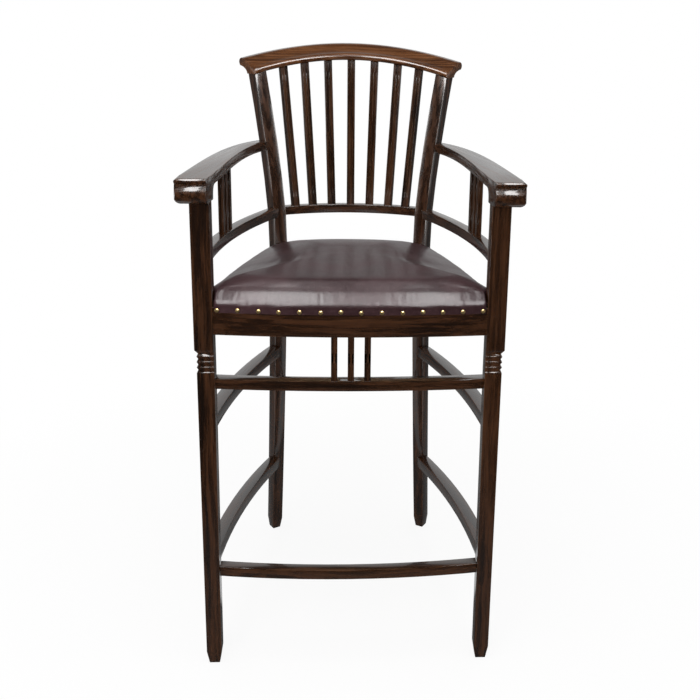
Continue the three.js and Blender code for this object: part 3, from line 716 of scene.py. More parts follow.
# %% [markdown]
# ## The stuffed seat: its outline
# The seat frame has four bowed rails. The leather is drawn over foam, down over the rails and
# nailed to their outer faces, and it is cut round the legs and posts. Its outline is therefore the
# outer line of the four rails, a little proud of them. Each rail is an arc through two leg middles
# with a known bow.

# %% Measure the frame and draw its outline
LEG_THICK, RAIL_HALF, BACK_RAIL_HALF = 34.5 * MM, 12 * MM, 11 * MM
FRONT_BOW, SIDE_BOW, BACK_BOW = 17 * MM, 12 * MM, 15 * MM
LEATHER = 2 * MM
POST_OUT, POST_BEHIND = 163 * MM, 482.8 * MM
FRONT_STEPS, SIDE_STEPS, BACK_STEPS = 96, 84, 64
leg_low, leg_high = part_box("front_leg_right")
FRAME_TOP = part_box("front_seat_rail")[1].z
FRONT_Y = leg_low.y
leg_middle = Vector((leg_high.x - LEG_THICK / 2, FRONT_Y + LEG_THICK / 2, 0))
post_middle = Vector((POST_OUT, FRONT_Y + POST_BEHIND, 0))


def mirror(point):
    return Vector((-point.x, point.y, point.z))


def bow_line(start, end, bow, outward, count):
    """Points and outward directions along an arc from start to end that bows outwards."""
    run = end - start
    chord = run.length
    along = run.normalized()
    out = Vector((-along.y, along.x, 0))
    out = out if out.dot(outward) > 0 else -out
    radius = (chord * chord / 4 + bow * bow) / (2 * bow)
    half = math.asin(chord / 2 / radius)
    line = []
    for i in range(count + 1):
        turn = (2 * i / count - 1) * half
        place = start + along * (radius * math.sin(turn) + chord / 2)
        place += out * (radius * math.cos(turn) - radius + bow)
        line.append((place, out * math.cos(turn) + along * math.sin(turn)))
    return line


front_line = bow_line(mirror(leg_middle), leg_middle, FRONT_BOW, Vector((0, -1, 0)), FRONT_STEPS)
right_line = bow_line(leg_middle, post_middle, SIDE_BOW, Vector((1, 0, 0)), SIDE_STEPS)
back_line = bow_line(post_middle, mirror(post_middle), BACK_BOW, Vector((0, 1, 0)), BACK_STEPS)
left_line = [(mirror(p), mirror(n)) for p, n in reversed(right_line)]
SEAT_LINES = [(front_line, RAIL_HALF), (right_line, RAIL_HALF), (back_line, BACK_RAIL_HALF),
              (left_line, RAIL_HALF)]


def seat_outline(offset):
    return [place + out * (half + offset) for line, half in SEAT_LINES for place, out in line]


print("Seat frame top:", round(FRAME_TOP * 1000, 1), "mm, front:", round(FRONT_Y * 1000, 1), "mm")

# %% [markdown]
# ## The stuffed seat: its blank
# A crowned pad is highest a little in front of the middle and rolls over at the rim. The blank is
# a stack of outlines that draw in as they rise. The legs and posts are cut out of it with four
# boxes. A voxel remesh then gives it even cells all over, which cloth needs.

# %% Build the blank of the seat
SEAT_REACH = 252 * MM
SEAT_CENTRE = Vector((0, FRONT_Y + SEAT_REACH, 0))
HEM = FRAME_TOP - 9.5 * MM
BLANK_FLOOR = HEM - 8 * MM
FLAP_TOP = FRAME_TOP - 4 * MM
SHOULDER = FRAME_TOP - 1 * MM
CROWN = 44 * MM
CROWN_POWER, ROLL_POWER = 2.2, 1.6
ROLL_DEEP, ROLL_HIGH = 56 * MM, 36 * MM
FRONT_GAIN, FRONT_START = 1.6, 0.5
CROWN_RINGS = 20
BULGE = 1.5 * MM
FLAP = 0.3 * MM + LEATHER
CELL = 5.2 * MM
CUT_GAP = 1.2 * MM
CUTTER_TALL = 200 * MM
POST_WIDE, POST_DEEP = 29 * MM, 33.5 * MM


def crown_rise(share, front):
    """Height of the crown at a share of the way out; the front has a fuller roll than the rest."""
    dome = CROWN * max(0.0, 1 - share ** CROWN_POWER) ** (1 / ROLL_POWER)
    reach = min(1.0, SEAT_REACH * (1 - share) / ROLL_DEEP)
    roll = ROLL_HIGH * math.sqrt(1 - (1 - reach) ** 2) + (CROWN - ROLL_HIGH) * (1 - share ** 2)
    return dome * (1 - front) + roll * front


def seat_blank():
    rings = [(1, FLAP, BLANK_FLOOR), (1, FLAP, HEM), (1, FLAP, FLAP_TOP)]
    for i in range(CROWN_RINGS):
        rings.append((math.cos(math.pi / 2 * i / CROWN_RINGS) ** (2 / CROWN_POWER), FLAP + BULGE, SHOULDER))
    points = []
    for share, offset, height in rings:
        for place in seat_outline(offset):
            flat = SEAT_CENTRE.lerp(Vector((place.x, place.y, 0)), share)
            front = eased((SEAT_CENTRE.y - place.y) / SEAT_REACH * FRONT_GAIN - FRONT_START)
            rise = crown_rise(share, front) if height >= SHOULDER else 0.0
            points.append(Vector((flat.x, flat.y, height + rise)))
    count = len(points) // len(rings)
    faces = ring_faces(len(rings), count)
    for ring, height in ((0, BLANK_FLOOR), (len(rings) - 1, SHOULDER + CROWN)):
        points.append(Vector((SEAT_CENTRE.x, SEAT_CENTRE.y, height)))
        faces += [(ring * count + j, ring * count + (j + 1) % count, len(points) - 1) for j in range(count)]
    mesh = mesh_from("seat_leather", points, faces)
    face_outwards(mesh)
    return new_object("seat_leather", mesh)


def cutter_box(name, middle, across, deep, turn):
    shell = bmesh.new()
    bmesh.ops.create_cube(shell, size=1)
    size = Matrix.Diagonal((across, deep, CUTTER_TALL, 1))
    place = Matrix.Translation(middle) @ Matrix.Rotation(turn, 4, "Z") @ size
    bmesh.ops.transform(shell, matrix=place, verts=shell.verts)
    mesh = bpy.data.meshes.new(name)
    shell.to_mesh(mesh)
    shell.free()
    return new_object(name, mesh)


def cut_away(thing, tool):
    cut = thing.modifiers.new("cut", "BOOLEAN")
    cut.operation, cut.solver, cut.object = "DIFFERENCE", "EXACT", tool


def cut_seat(blank):
    cutters = []
    for flip in (1, -1):
        for spot, wide, deep, turn in ((leg_middle, LEG_THICK, LEG_THICK, 0),
                                       (post_middle, POST_WIDE, POST_DEEP, -POST_TURN)):
            middle = Vector((flip * spot.x, spot.y, FRAME_TOP))
            size = (wide + 2 * CUT_GAP, deep + 2 * CUT_GAP)
            cutters.append(cutter_box("cutter", middle, *size, flip * turn))
    for tool in cutters:
        cut_away(blank, tool)
    remesh = blank.modifiers.new("cells", "REMESH")
    remesh.mode, remesh.voxel_size = "VOXEL", CELL
    settle(blank)
    for tool in cutters:
        bpy.data.objects.remove(tool)


seat = seat_blank()
cut_seat(seat)
print("Seat cells:", len(seat.data.polygons))

# %% [markdown]
# ## The stuffed seat: cloth under pressure
# Leather over foam behaves like a skin with air behind it: it swells where it is free and stays
# where it is nailed. The part that lies on the rails is pinned. Pressure lifts the rest over
# twenty frames. Cloth alone would fold at the cut corners, where foam stays smooth, so the
# movement is then evened out between neighbouring points. A cap keeps the swelling to a few
# millimetres, so the seat keeps its size.

# %% Let the seat swell
SWELL_CAP = 5 * MM
PRESSURE = 4.0
FRAMES = 20
FOAM_EVENS = 40
NAILED_BELOW = FRAME_TOP + 1 * MM
TINY = 1e-9


def evened(mesh, values, times):
    """Averages the values with those of the neighbouring points, as foam evens out folds."""
    ends = np.empty(len(mesh.edges) * 2, np.int32)
    mesh.edges.foreach_get("vertices", ends)
    a, b = ends[0::2], ends[1::2]
    share = np.bincount(ends, minlength=len(values))[:, None]
    for _ in range(times):
        total = np.zeros_like(values)
        np.add.at(total, a, values[b])
        np.add.at(total, b, values[a])
        values = values * 0.5 + total / share * 0.5
    return values


def swell(thing):
    before = points_of(thing.data).copy()
    held = thing.vertex_groups.new(name="nailed")
    fixed = np.nonzero(before[:, 2] < NAILED_BELOW)[0].tolist()
    held.add(fixed, 1.0, "REPLACE")
    cloth = thing.modifiers.new("swell", "CLOTH")
    settings = cloth.settings
    settings.quality = 4
    settings.mass = 0.4
    settings.tension_stiffness = settings.compression_stiffness = 15
    settings.shear_stiffness = 8
    settings.bending_stiffness = 1.0
    settings.vertex_group_mass = held.name
    settings.use_pressure = True
    settings.uniform_pressure_force = PRESSURE
    settings.effector_weights.gravity = 0
    cloth.point_cache.frame_start, cloth.point_cache.frame_end = 1, FRAMES
    for step in range(1, FRAMES + 1):
        bpy.context.scene.frame_set(step)
    settle(thing)
    bpy.context.scene.frame_set(1)
    moved = evened(thing.data, points_of(thing.data) - before, FOAM_EVENS)
    length = np.linalg.norm(moved, axis=1, keepdims=True)
    moved *= np.minimum(1.0, SWELL_CAP / np.maximum(length, TINY))
    thing.data.vertices.foreach_set("co", (before + moved).astype(np.float32).ravel())
    thing.vertex_groups.clear()
    return float(length.max()), float(length.mean())


print("Swelling, largest and mean, m:", *(round(v, 4) for v in swell(seat)))

# %% [markdown]
# ## The stuffed seat: nailed hem and puckers
# The nails pull the leather in at the hem, and between them it stands off a little. Above the nail
# line it bulges over the edge of the rail, and the surplus is gathered into short upright puckers.
# These are real shapes, so the points are moved: each finds its nearest place on the outline, and
# that gives a distance round the seat and a height above the hem to draw with.

# %% Shape the hem
NAIL_LEVEL = HEM + 4.5 * MM
NAIL_COUNTS = {"front": 14, "side": 12, "back": 8}
NAIL_RADIUS = 4.2 * MM


def nail_line(line, half, start_gap, end_gap):
    """The part of a rail's outer line between the legs, at nail level."""
    points = [place + out * (half + FLAP) for place, out in line]
    walked = [0.0]
    for a, b in zip(points, points[1:]):
        walked.append(walked[-1] + (b - a).length)
    last = walked[-1] - end_gap
    return [Vector((p.x, p.y, NAIL_LEVEL)) for p, s in zip(points, walked) if start_gap <= s <= last]


LEG_GAP, POST_GAP = 27 * MM, 29 * MM
nail_lines = {
    "front": nail_line(front_line, RAIL_HALF, LEG_GAP, LEG_GAP),
    "right": nail_line(right_line, RAIL_HALF, LEG_GAP, POST_GAP),
    "back": nail_line(back_line, BACK_RAIL_HALF, POST_GAP, POST_GAP),
    "left": nail_line(left_line, RAIL_HALF, POST_GAP, LEG_GAP),
}


def walked_along(places):
    """The distance walked along a line at each of its points."""
    return np.concatenate([[0], np.cumsum(np.linalg.norm(np.diff(places, axis=0), axis=1))])


def walk(points, count):
    """Evenly spaced points along a line."""
    places = np.array([tuple(p) for p in points])
    walked = walked_along(places)
    wanted = np.linspace(0, walked[-1], count)
    return np.stack([np.interp(wanted, walked, places[:, k]) for k in range(3)], 1)


def count_of(side):
    return NAIL_COUNTS["side" if side in SIDES else side]


nail_spots = np.concatenate([walk(line, count_of(side)) for side, line in nail_lines.items()])
outline_points = np.array([tuple(p) for p in seat_outline(FLAP)])[:, :2]
outline_normals = np.array([tuple(n) for line, _ in SEAT_LINES for _, n in line])[:, :2]
outline_walk = walked_along(outline_points)
print("Nails:", len(nail_spots), "front pitch:",
      round(float(np.linalg.norm(nail_spots[1] - nail_spots[0])) * 1000, 1), "mm")

# %% [markdown]
# The puckers come from noise that is drawn out upwards, and they die away up the crown. Each nail
# pulls a small dimple. After that the open underside is trimmed at the hem, and the skin gets the
# thickness of leather.

# %% Move the points and give the skin its thickness
SKIN = 1.0 * MM
DIMPLE, DIMPLE_WIDE, DIMPLE_TALL = 1.0 * MM, 8 * MM, 5 * MM
ROLL, ROLL_LEVEL, ROLL_TALL = 2.4 * MM, FRAME_TOP + 8 * MM, 7 * MM
CREASE, CREASE_LEVEL, CREASE_TALL = 0.7 * MM, FRAME_TOP - 0.5 * MM, 2.0 * MM
PUCKER, PUCKER_WIDE, PUCKER_TALL = 0.4 * MM, 6.5 * MM, 36 * MM
UNEVEN, UNEVEN_WIDE = 0.35, 45 * MM
FINE_SHARE, FINE_ACROSS, FINE_UP = 0.5, 2.1, 1.5
FOLD_RISE, FOLD_FADE = 6 * MM, 12 * MM
RIM_REACH = 45 * MM
PUSH_OUT, PUSH_UP, UP_REACH = 0.8, 0.6, 12 * MM


def nearest_finder(points):
    tree = kdtree.KDTree(len(points))
    for i, place in enumerate(points):
        tree.insert((place[0], place[1], 0), i)
    tree.balance()
    return tree


OUTLINE_TREE = nearest_finder(outline_points)
NAIL_TREE = nearest_finder(nail_spots)


def bell(value, centre, width):
    return math.exp(-((value - centre) / width) ** 2)


def hem_push(point, walked):
    """How far a point near the rim moves outwards."""
    height = point[2] - HEM
    near = NAIL_TREE.find((point[0], point[1], 0))[2]
    push = -DIMPLE * bell(near, 0, DIMPLE_WIDE) * bell(point[2], NAIL_LEVEL, DIMPLE_TALL)
    uneven = 1 + UNEVEN * field.noise(Vector((walked / UNEVEN_WIDE, 3.7, 0)))
    push += ROLL * uneven * bell(point[2], ROLL_LEVEL, ROLL_TALL)
    push -= CREASE * uneven * bell(point[2], CREASE_LEVEL, CREASE_TALL)
    rise = min(1.0, max(0.0, height / FOLD_RISE))
    fade = bell(max(0.0, height - FOLD_FADE), 0, PUCKER_TALL)
    across, up = walked / PUCKER_WIDE, height / PUCKER_TALL
    fold = field.noise(Vector((across, up, 1.3)))
    fold += FINE_SHARE * field.noise(Vector((across * FINE_ACROSS, up * FINE_UP, 7.9)))
    return push + PUCKER * fold * rise * fade


def shape_hem(mesh):
    points = points_of(mesh).copy()
    for i, point in enumerate(points):
        _, index, away = OUTLINE_TREE.find((point[0], point[1], 0))
        if away > RIM_REACH:
            continue
        push = hem_push(point, outline_walk[index]) * (1 - (away / RIM_REACH) ** 2)
        points[i, :2] += outline_normals[index] * push * PUSH_OUT
        points[i, 2] += push * PUSH_UP * min(1.0, away / UP_REACH)
    mesh.vertices.foreach_set("co", points.ravel())
    mesh.update()


def trim_and_thicken(thing):
    shell = bmesh.new()
    shell.from_mesh(thing.data)
    bmesh.ops.recalc_face_normals(shell, faces=shell.faces)
    bmesh.ops.bisect_plane(shell, geom=shell.verts[:] + shell.edges[:] + shell.faces[:],
                           plane_co=(0, 0, HEM), plane_no=(0, 0, 1), clear_inner=True)
    shell.to_mesh(thing.data)
    shell.free()
    skin = thing.modifiers.new("skin", "SOLIDIFY")
    skin.thickness, skin.offset, skin.use_rim = SKIN, -1, True
    settle(thing)


def store_wrap(mesh):
    """Keeps the distance round the seat, the height and the distance from the rim for the leather."""
    points = points_of(mesh)
    values = np.zeros((len(points), 3), np.float32)
    for i, point in enumerate(points):
        _, index, away = OUTLINE_TREE.find((point[0], point[1], 0))
        values[i] = (outline_walk[index], point[2] - HEM, away)
    store_vectors(mesh, "wrap", values)


print("Points on the outline of the seat:", len(outline_points))

# %% Finish the skin of the seat
finer = seat.modifiers.new("finer", "SUBSURF")
finer.levels = finer.render_levels = 1
settle(seat)
shape_hem(seat.data)
trim_and_thicken(seat)
store_wrap(seat.data)
seat.data.shade_smooth()
print("Seat faces:", len(seat.data.polygons),
      "top:", round(points_of(seat.data)[:, 2].max() * 1000, 1), "mm")

# %% [markdown]
# ## Leather
# The leather is oxblood, dyed nearly black in its hollows, with a fine pebble and a soft gloss.
# A Voronoi pattern is right for the pebble, because hide has small cells with creases between
# them. The puckers below the size of the mesh are bump, drawn with the distance round the seat.

# %% Leather material
HOLLOW_DYE, FULL_DYE = (0.027, 0.0098, 0.0115, 1), (0.046, 0.0185, 0.0215, 1)
FLECK_DYE, CREASE_DYE, RUBBED_DYE = (0.09, 0.045, 0.05, 1), (0.02, 0.008, 0.01, 1), (0.12, 0.06, 0.06, 1)
PEBBLES, RIPPLES_ROUND, RIPPLES_UP = 820.0, 260.0, 26.0


def make_leather():
    material, tree, surface = new_material("oxblood_leather", "leather")
    place = add_node(tree, "ShaderNodeTexCoord").outputs["Object"]
    wrap = add_node(tree, "ShaderNodeAttribute", attribute_name="wrap").outputs["Vector"]
    edge = place_group(tree, EDGE_WEAR_AND_HIGHLIGHT, {"Amount": 0.25, "Radius": 0.003})
    cloud = noise(tree, place, 14.0, 4.0, 0.6)
    fleck = noise(tree, place, 160.0, 3.0, 0.6)
    cells = add_node(tree, "ShaderNodeTexVoronoi", {"Vector": place, "Scale": PEBBLES},
                     feature="DISTANCE_TO_EDGE")
    pebble = spread(tree, cells.outputs["Distance"], 0.0, 0.14)
    between = maths(tree, "SUBTRACT", 1.0, pebble)
    body = mix_colour(tree, spread(tree, cloud, 0.35, 0.65), HOLLOW_DYE, FULL_DYE)
    body = mix_colour(tree, maths(tree, "MULTIPLY", spread(tree, fleck, 0.5, 0.75), 0.3), body, FLECK_DYE)
    body = mix_colour(tree, maths(tree, "MULTIPLY", between, 0.35), body, CREASE_DYE)
    body = mix_colour(tree, edge.outputs["Mask"], body, RUBBED_DYE)
    tree.links.new(body, surface.inputs["Base Color"])
    tree.links.new(spread(tree, cloud, 0.3, 0.7, 0.33, 0.42), surface.inputs["Roughness"])
    parts = add_node(tree, "ShaderNodeSeparateXYZ", {0: wrap})
    drawn = add_node(tree, "ShaderNodeCombineXYZ", {
        "X": maths(tree, "MULTIPLY", parts.outputs["X"], RIPPLES_ROUND),
        "Y": maths(tree, "MULTIPLY", parts.outputs["Y"], RIPPLES_UP)})
    near_rim = spread(tree, parts.outputs["Z"], 0.05, 0.12, 1.0, 0.0)
    folds = maths(tree, "MULTIPLY", noise(tree, drawn.outputs[0], 1.0, 3.0, 0.55), near_rim)
    ripple = add_node(tree, "ShaderNodeBump", {"Strength": 0.35, "Distance": 0.0008, "Height": folds})
    height = maths(tree, "ADD", maths(tree, "MULTIPLY", pebble, 0.6), maths(tree, "MULTIPLY", fleck, 0.6))
    hide = add_node(tree, "ShaderNodeBump", {
        "Strength": 0.22, "Distance": 0.0002, "Height": height, "Normal": ripple.outputs[0]})
    tree.links.new(hide.outputs[0], surface.inputs["Normal"])
    surface.inputs["Specular IOR Level"].default_value = 0.3
    surface.inputs["Coat Weight"].default_value = 0.3
    surface.inputs["Coat Roughness"].default_value = 0.2
    return material


LEATHER_MATERIAL = make_leather()
seat.data.materials.clear()
seat.data.materials.append(LEATHER_MATERIAL)
hand_over(seat, LEATHER_MATERIAL, "seat_cover", "seat_foam")
print("Leather:", len(LEATHER_MATERIAL.node_tree.nodes), "nodes")

# %% [markdown]
# ## Brass nails
# Upholstery nails follow the hem, evenly spaced by eye. A tree resamples a line into points,
# shoots a ray from outside on to the leather to find the real surface, and seats a head there. A
# small seeded tilt and step to the side keep the row from looking like a machine's.

# %% Brass
BRIGHT_BRASS, TARNISHED_BRASS = (0.90, 0.68, 0.32, 1), (0.55, 0.36, 0.15, 1)
RUBBED_BRASS = (0.95, 0.80, 0.45, 1)


def make_brass():
    material, tree, surface = new_material("polished_brass", "nail_brass")
    place = add_node(tree, "ShaderNodeTexCoord").outputs["Object"]
    tarnish = spread(tree, noise(tree, place, 420.0, 4.0, 0.6), 0.4, 0.72)
    edge = place_group(tree, EDGE_WEAR_AND_HIGHLIGHT, {"Amount": 0.4, "Radius": 0.0008, "Patch scale": 300.0})
    body = mix_colour(tree, maths(tree, "MULTIPLY", tarnish, 0.55), BRIGHT_BRASS, TARNISHED_BRASS)
    body = mix_colour(tree, edge.outputs["Mask"], body, RUBBED_BRASS)
    tree.links.new(body, surface.inputs["Base Color"])
    tree.links.new(spread(tree, tarnish, 0.0, 1.0, 0.36, 0.55), surface.inputs["Roughness"])
    surface.inputs["Metallic"].default_value = 1.0
    bump = add_node(tree, "ShaderNodeBump", {"Strength": 0.15, "Distance": 0.0002, "Height": tarnish})
    tree.links.new(bump.outputs[0], surface.inputs["Normal"])
    return material


BRASS = make_brass()
print("Brass:", len(BRASS.node_tree.nodes), "nodes")

# %% [markdown]
# The head of a nail is a shallow dome, turned from a short profile. Screws are turned the same way.

# %% Turned heads
HEAD_SMOOTH, SCREW_SMOOTH = math.radians(50), math.radians(40)
NAIL_DOME, NAIL_RIM, NAIL_SIDES = 2.3 * MM, 0.8 * MM, 18
DOME_STEPS, DOME_TOP_STEP = 4, 0.35
UNDER_SHARE, RIM_SHARE = 0.86, 0.3


def turned(name, profile, count):
    """A closed shape turned round the Z axis from (radius, height) points, lowest first."""
    points = []
    for radius, height in profile:
        for i in range(count):
            angle = 2 * math.pi * i / count
            points.append((radius * math.cos(angle), radius * math.sin(angle), height))
    last = (len(profile) - 1) * count
    ends = [tuple(reversed(range(count))), tuple(range(last, last + count))]
    mesh = mesh_from(name, points, ring_faces(len(profile), count) + ends)
    face_outwards(mesh)
    shade(mesh, HEAD_SMOOTH)
    return new_object(name, mesh)


def dome_profile(radius, height, rim):
    profile = [(radius * UNDER_SHARE, -rim), (radius, -rim * RIM_SHARE)]
    for i in range(DOME_STEPS + 1):
        turn = math.pi / 2 * i / (DOME_STEPS + DOME_TOP_STEP)
        profile.append((radius * math.cos(turn), rim * RIM_SHARE + height * math.sin(turn)))
    return profile


one_nail = turned("one_nail", dome_profile(NAIL_RADIUS, NAIL_DOME, NAIL_RIM), NAIL_SIDES)
print("Faces of one nail:", len(one_nail.data.polygons))

# %% Nail row tree
def make_nail_row():
    tree, into, out = new_geometry_tree("nail_row", [
        ("Piece", "NodeSocketObject", None), ("Cover", "NodeSocketObject", None),
        ("Count", "NodeSocketInt", 10), ("Reach", "NodeSocketFloat", 0.02),
        ("Tilt", "NodeSocketFloat", 0.08), ("Step", "NodeSocketFloat", 0.0008),
        ("Seed", "NodeSocketInt", 1), ("Material", "NodeSocketMaterial", None),
    ])
    line = add_node(tree, "GeometryNodeMeshToCurve", {0: into.outputs["Geometry"]})
    even = add_node(tree, "GeometryNodeResampleCurve", {
        "Curve": line.outputs[0], "Count": into.outputs["Count"]})
    along = add_node(tree, "GeometryNodeInputTangent").outputs[0]
    outward = vector_maths(tree, "CROSS_PRODUCT", along, (0, 0, 1))
    kept = add_node(tree, "GeometryNodeStoreNamedAttribute", {
        "Geometry": even.outputs[0], "Name": "outward", "Value": outward,
    }, data_type="FLOAT_VECTOR", domain="POINT")
    dots = add_node(tree, "GeometryNodeCurveToPoints", {"Curve": kept.outputs[0]}, mode="EVALUATED")
    outward = named(tree, "outward")
    place = add_node(tree, "GeometryNodeInputPosition").outputs[0]
    start = vector_maths(tree, "ADD", place, scaled(tree, outward, into.outputs["Reach"]))
    cover = add_node(tree, "GeometryNodeObjectInfo", {"Object": into.outputs["Cover"]})
    ray = add_node(tree, "GeometryNodeRaycast", {
        "Target Geometry": cover.outputs["Geometry"],
        "Source Position": start, "Ray Direction": scaled(tree, outward, -1.0),
        "Ray Length": maths(tree, "MULTIPLY", into.outputs["Reach"], 3.0),
    })
    jitter = random_vector(tree, -1, 1, into.outputs["Seed"])
    sidestep = scaled(tree, jitter, into.outputs["Step"])
    target = vector_maths(tree, "ADD", ray.outputs["Hit Position"], sidestep)
    target = vector_maths(tree, "SUBTRACT", target, vector_maths(tree, "PROJECT", sidestep, outward))
    moved = add_node(tree, "GeometryNodeSetPosition", {
        "Geometry": dots.outputs["Points"], "Position": target})
    facing = vector_maths(tree, "ADD", outward, scaled(tree, jitter, into.outputs["Tilt"]))
    turn = add_node(tree, "FunctionNodeAlignRotationToVector", {"Vector": facing}, axis="Z")
    piece = add_node(tree, "GeometryNodeObjectInfo", {"Object": into.outputs["Piece"]})
    placed = add_node(tree, "GeometryNodeInstanceOnPoints", {
        "Points": moved.outputs[0], "Instance": piece.outputs["Geometry"], "Rotation": turn.outputs[0]})
    finish_tree(tree, placed.outputs[0], into, out)
    return tree


NAIL_ROW = make_nail_row()
print("Nail row tree:", len(NAIL_ROW.nodes), "nodes")

# %% Set out the nails
NAIL_SEED = 40

for number, (side, line) in enumerate(nail_lines.items()):
    path = bpy.data.meshes.new("nails_" + side)
    path.from_pydata([tuple(p) for p in line], [(i, i + 1) for i in range(len(line) - 1)], [])
    row = run_tree(new_object("nails_" + side, path), NAIL_ROW, piece=one_nail, cover=seat,
                   count=count_of(side), seed=NAIL_SEED + number, material=BRASS)
    shade(row.data, HEAD_SMOOTH)
    hand_over(row, BRASS)
    print("Nails", side, count_of(side), "faces", len(row.data.polygons))
bpy.data.objects.remove(one_nail)

# %% [markdown]
# ## Screws under the seat
# The seat board is held from below by a screw through each corner block. They show only when the
# stool is turned over, so a plain round head with a slot is enough.

# %% Set out the screws
SCREW_RADIUS, SCREW_RIM, SCREW_CURVE, SCREW_TALL = 4.5 * MM, 1.0 * MM, 1.9 * MM, 2.5 * MM
CURVE_SHARE, FACE_SHARE = 0.86, 0.5
SCREW_SIDES = 20
SLOT_WIDE, SLOT_DEEP = 1.2 * MM, 1.1 * MM
FIRST_TURN, NEXT_TURN = 0.4, 0.7
UNDER_REACH = 1 * MM
SCREW_SEED = 21


def slotted_screw():
    """A round head that hangs down from its foot, with a slot across its face."""
    profile = [(SCREW_RADIUS * FACE_SHARE, -SCREW_TALL), (SCREW_RADIUS * CURVE_SHARE, -SCREW_CURVE),
               (SCREW_RADIUS, -SCREW_RIM), (SCREW_RADIUS, 0.0)]
    head = turned("one_screw", profile, SCREW_SIDES)
    middle = Vector((0, 0, SLOT_DEEP - SCREW_TALL - CUTTER_TALL / 2))
    blade = cutter_box("blade", middle, SCREW_RADIUS * 3, SLOT_WIDE, 0)
    cut_away(head, blade)
    settle(head)
    bpy.data.objects.remove(blade)
    shade(head.data, SCREW_SMOOTH)
    return head


def block_middle(node):
    points = points_of(NODES[node].data)
    under = points[:, 2].min()
    spot = points[points[:, 2] < under + UNDER_REACH].mean(0)
    return Vector((spot[0], spot[1], under))


screw_places = [(block_middle(node), Matrix.Rotation(NEXT_TURN * i + FIRST_TURN, 3, "Z"), (1, 1, 1))
                for i, node in enumerate(BLOCK_NODES)]
one_screw = slotted_screw()
set_out("block_screws", screw_places, one_screw, BRASS, SCREW_SEED, ())
bpy.data.objects.remove(one_screw)
print("Screws:", len(screw_places))

# %% [markdown]
# ## Studio: what the lacquer mirrors
# The stool stands on a pale floor before a white room. Dark lacquer shows mostly what it mirrors,
# and a room that is white all round would turn every face grey. So the brightness that mirrored
# rays meet depends on their level direction: white walls at the sides and behind, and a dim front.
# The upright faces stay dark and the level ones mirror the pale back wall. One group holds this
# rule, and both the floor and the room use it.

# %% The walls as a node group
FRONT_LEVEL, QUIET_LEVEL = 0.02, 0.07
ROOM_BEHIND, ROOM_SIDES = 0.58, 0.3
FLOOR_BEHIND, FLOOR_SIDES = 0.12, 0.6


def make_walls():
    """How bright the room is in a level direction."""
    tree, into, out = new_group("white_walls", [
        ("Way", "NodeSocketVector", (0, 0, 0)), ("Behind", "NodeSocketFloat", 0.5),
        ("Sides", "NodeSocketFloat", 0.5)], [("Level", "NodeSocketFloat")])
    flat = vector_maths(tree, "MULTIPLY", into.outputs["Way"], (1, 1, 0))
    parts = add_node(tree, "ShaderNodeSeparateXYZ", {0: vector_maths(tree, "NORMALIZE", flat)})
    sides = spread(tree, maths(tree, "ABSOLUTE", parts.outputs["X"]), 0.90, 0.97)
    sides = maths(tree, "MULTIPLY", sides, into.outputs["Sides"])
    behind = maths(tree, "MULTIPLY", spread(tree, parts.outputs["Y"], 0.84, 0.95), into.outputs["Behind"])
    quiet = spread(tree, parts.outputs["Y"], -0.4, 0.2, FRONT_LEVEL, QUIET_LEVEL)
    walls = maths(tree, "MAXIMUM", maths(tree, "MAXIMUM", sides, behind), quiet)
    tree.links.new(walls, out.inputs["Level"])
    return tree


WALLS = make_walls()
print("Walls group:", len(WALLS.nodes), "nodes")

# %% [markdown]
# ## Studio: the floor
# Far from the stool the camera sees the floor as plain white. Near it a small part of the lit
# floor is kept, so the shadow stays and no horizon shows.

# %% Floor
FLOOR_HALF = 9.0
GLOW_NEAR, GLOW_START, GLOW_FULL = 0.9, 0.5, 1.5


def make_floor():
    material, tree, surface = new_material("studio_floor")
    surface.inputs["Base Color"].default_value = (0.9, 0.9, 0.9, 1)
    surface.inputs["Roughness"].default_value = 0.9
    surface.inputs["Specular IOR Level"].default_value = 0.0
    path = tree.nodes.new("ShaderNodeLightPath")
    seen = maths(tree, "MAXIMUM", path.outputs["Is Camera Ray"], path.outputs["Is Glossy Ray"])
    seen = maths(tree, "MAXIMUM", seen, path.outputs["Is Transmission Ray"])
    place = add_node(tree, "ShaderNodeTexCoord").outputs["Object"]
    away = add_node(tree, "ShaderNodeVectorMath", {0: place}, operation="LENGTH").outputs["Value"]
    share = spread(tree, away, GLOW_START, GLOW_FULL, GLOW_NEAR, 1.0)
    walls = place_group(tree, WALLS, {"Way": place, "Behind": FLOOR_BEHIND, "Sides": FLOOR_SIDES})
    strength = mix_value(tree, path.outputs["Is Glossy Ray"], 1.0, walls.outputs["Level"])
    glow = add_node(tree, "ShaderNodeEmission", {"Color": (1, 1, 1, 1), "Strength": strength})
    blend = add_node(tree, "ShaderNodeMixShader", {
        0: maths(tree, "MULTIPLY", seen, share), 1: surface.outputs[0], 2: glow.outputs[0]})
    output = next(node for node in tree.nodes if node.type == "OUTPUT_MATERIAL")
    tree.links.new(blend.outputs[0], output.inputs[0])
    return material


corners = [(x * FLOOR_HALF, y * FLOOR_HALF, 0) for x, y in ((-1, -1), (1, -1), (1, 1), (-1, 1))]
floor_mesh = mesh_from("studio_floor", corners, [(0, 1, 2, 3)])
floor_mesh.materials.append(make_floor())
floor = new_object("studio_floor", floor_mesh)
print("Floor:", 2 * FLOOR_HALF, "m square")

# %% [markdown]
# ## Studio: room and lamps
# Two soft boxes hang over the stool, one to each side. They draw the two bright fields on the
# front of the seat and the lines along the arms and the crest rail. A strip at each side gives the
# turned faces of the slats a thin line. These four show in the gloss only. The room, a broad light
# above and one in front give the plain light that the colours need, and stay out of the gloss.

# %% Room and lamps
PLAIN_LEVEL = 0.6


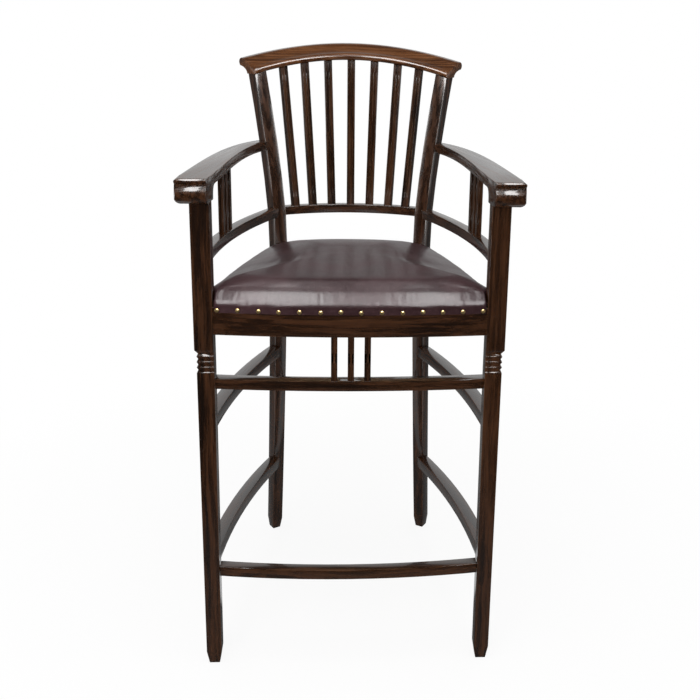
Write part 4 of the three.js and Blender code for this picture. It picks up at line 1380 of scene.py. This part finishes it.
def make_room():
    world = bpy.data.worlds.new("studio_room")
    world.use_nodes = True
    tree = world.node_tree
    tree.nodes.clear()
    path = tree.nodes.new("ShaderNodeLightPath")
    way = add_node(tree, "ShaderNodeTexCoord").outputs["Generated"]
    parts = add_node(tree, "ShaderNodeSeparateXYZ", {0: way})
    walls = place_group(tree, WALLS, {"Way": way, "Behind": ROOM_BEHIND, "Sides": ROOM_SIDES})
    low_down = spread(tree, parts.outputs["Z"], 0.45, 0.75, 1.0, 0.0)
    mirrored = maths(tree, "MULTIPLY", walls.outputs["Level"], low_down)
    mirrored = maths(tree, "MAXIMUM", mirrored, FRONT_LEVEL)
    level = mix_value(tree, path.outputs["Is Glossy Ray"], PLAIN_LEVEL, mirrored)
    seen = maths(tree, "MAXIMUM", path.outputs["Is Camera Ray"], path.outputs["Is Transmission Ray"])
    level = mix_value(tree, seen, level, 1.0)
    light = add_node(tree, "ShaderNodeBackground", {"Color": (1, 1, 1, 1), "Strength": level})
    output = tree.nodes.new("ShaderNodeOutputWorld")
    tree.links.new(light.outputs[0], output.inputs[0])
    bpy.context.scene.world = world


def soft_box(name, place, target, size, watts, glossy=True, diffuse=True):
    lamp = bpy.data.lights.new(name, "AREA")
    lamp.shape, lamp.size, lamp.size_y = "RECTANGLE", size[0], size[1]
    lamp.energy = watts
    thing = bpy.data.objects.new(name, lamp)
    thing.location = place
    thing.rotation_euler = (Vector(target) - Vector(place)).to_track_quat("-Z", "Y").to_euler()
    thing.visible_camera, thing.visible_glossy, thing.visible_diffuse = False, glossy, diffuse
    bpy.context.scene.collection.objects.link(thing)


make_room()
soft_box("box_left", (-0.42, -0.85, 2.35), (-0.42, -0.5, 0.8), (0.60, 2.2), 54.0, diffuse=False)
soft_box("box_right", (0.53, -0.85, 2.35), (0.53, -0.5, 0.8), (0.54, 2.2), 49.0, diffuse=False)
for name, side in (("strip_left", -1), ("strip_right", 1)):
    soft_box(name, (1.9 * side, 0.0, 1.05), (0, 0.0, 1.0), (0.4, 1.3), 9.0, diffuse=False)
soft_box("top_light", (0, -0.5, 2.6), (0, 0, 0.6), (1.6, 1.6), 26.0, glossy=False)
soft_box("fill_front", (-0.8, -2.6, 1.5), (0, 0, 0.6), (1.6, 1.2), 32.0, glossy=False)
print("Lamps:", len(bpy.data.lights))

# %% [markdown]
# ## Finish
# The view layer is updated, so that every object stands where it was placed.

# %% Finish
bpy.context.view_layer.update()
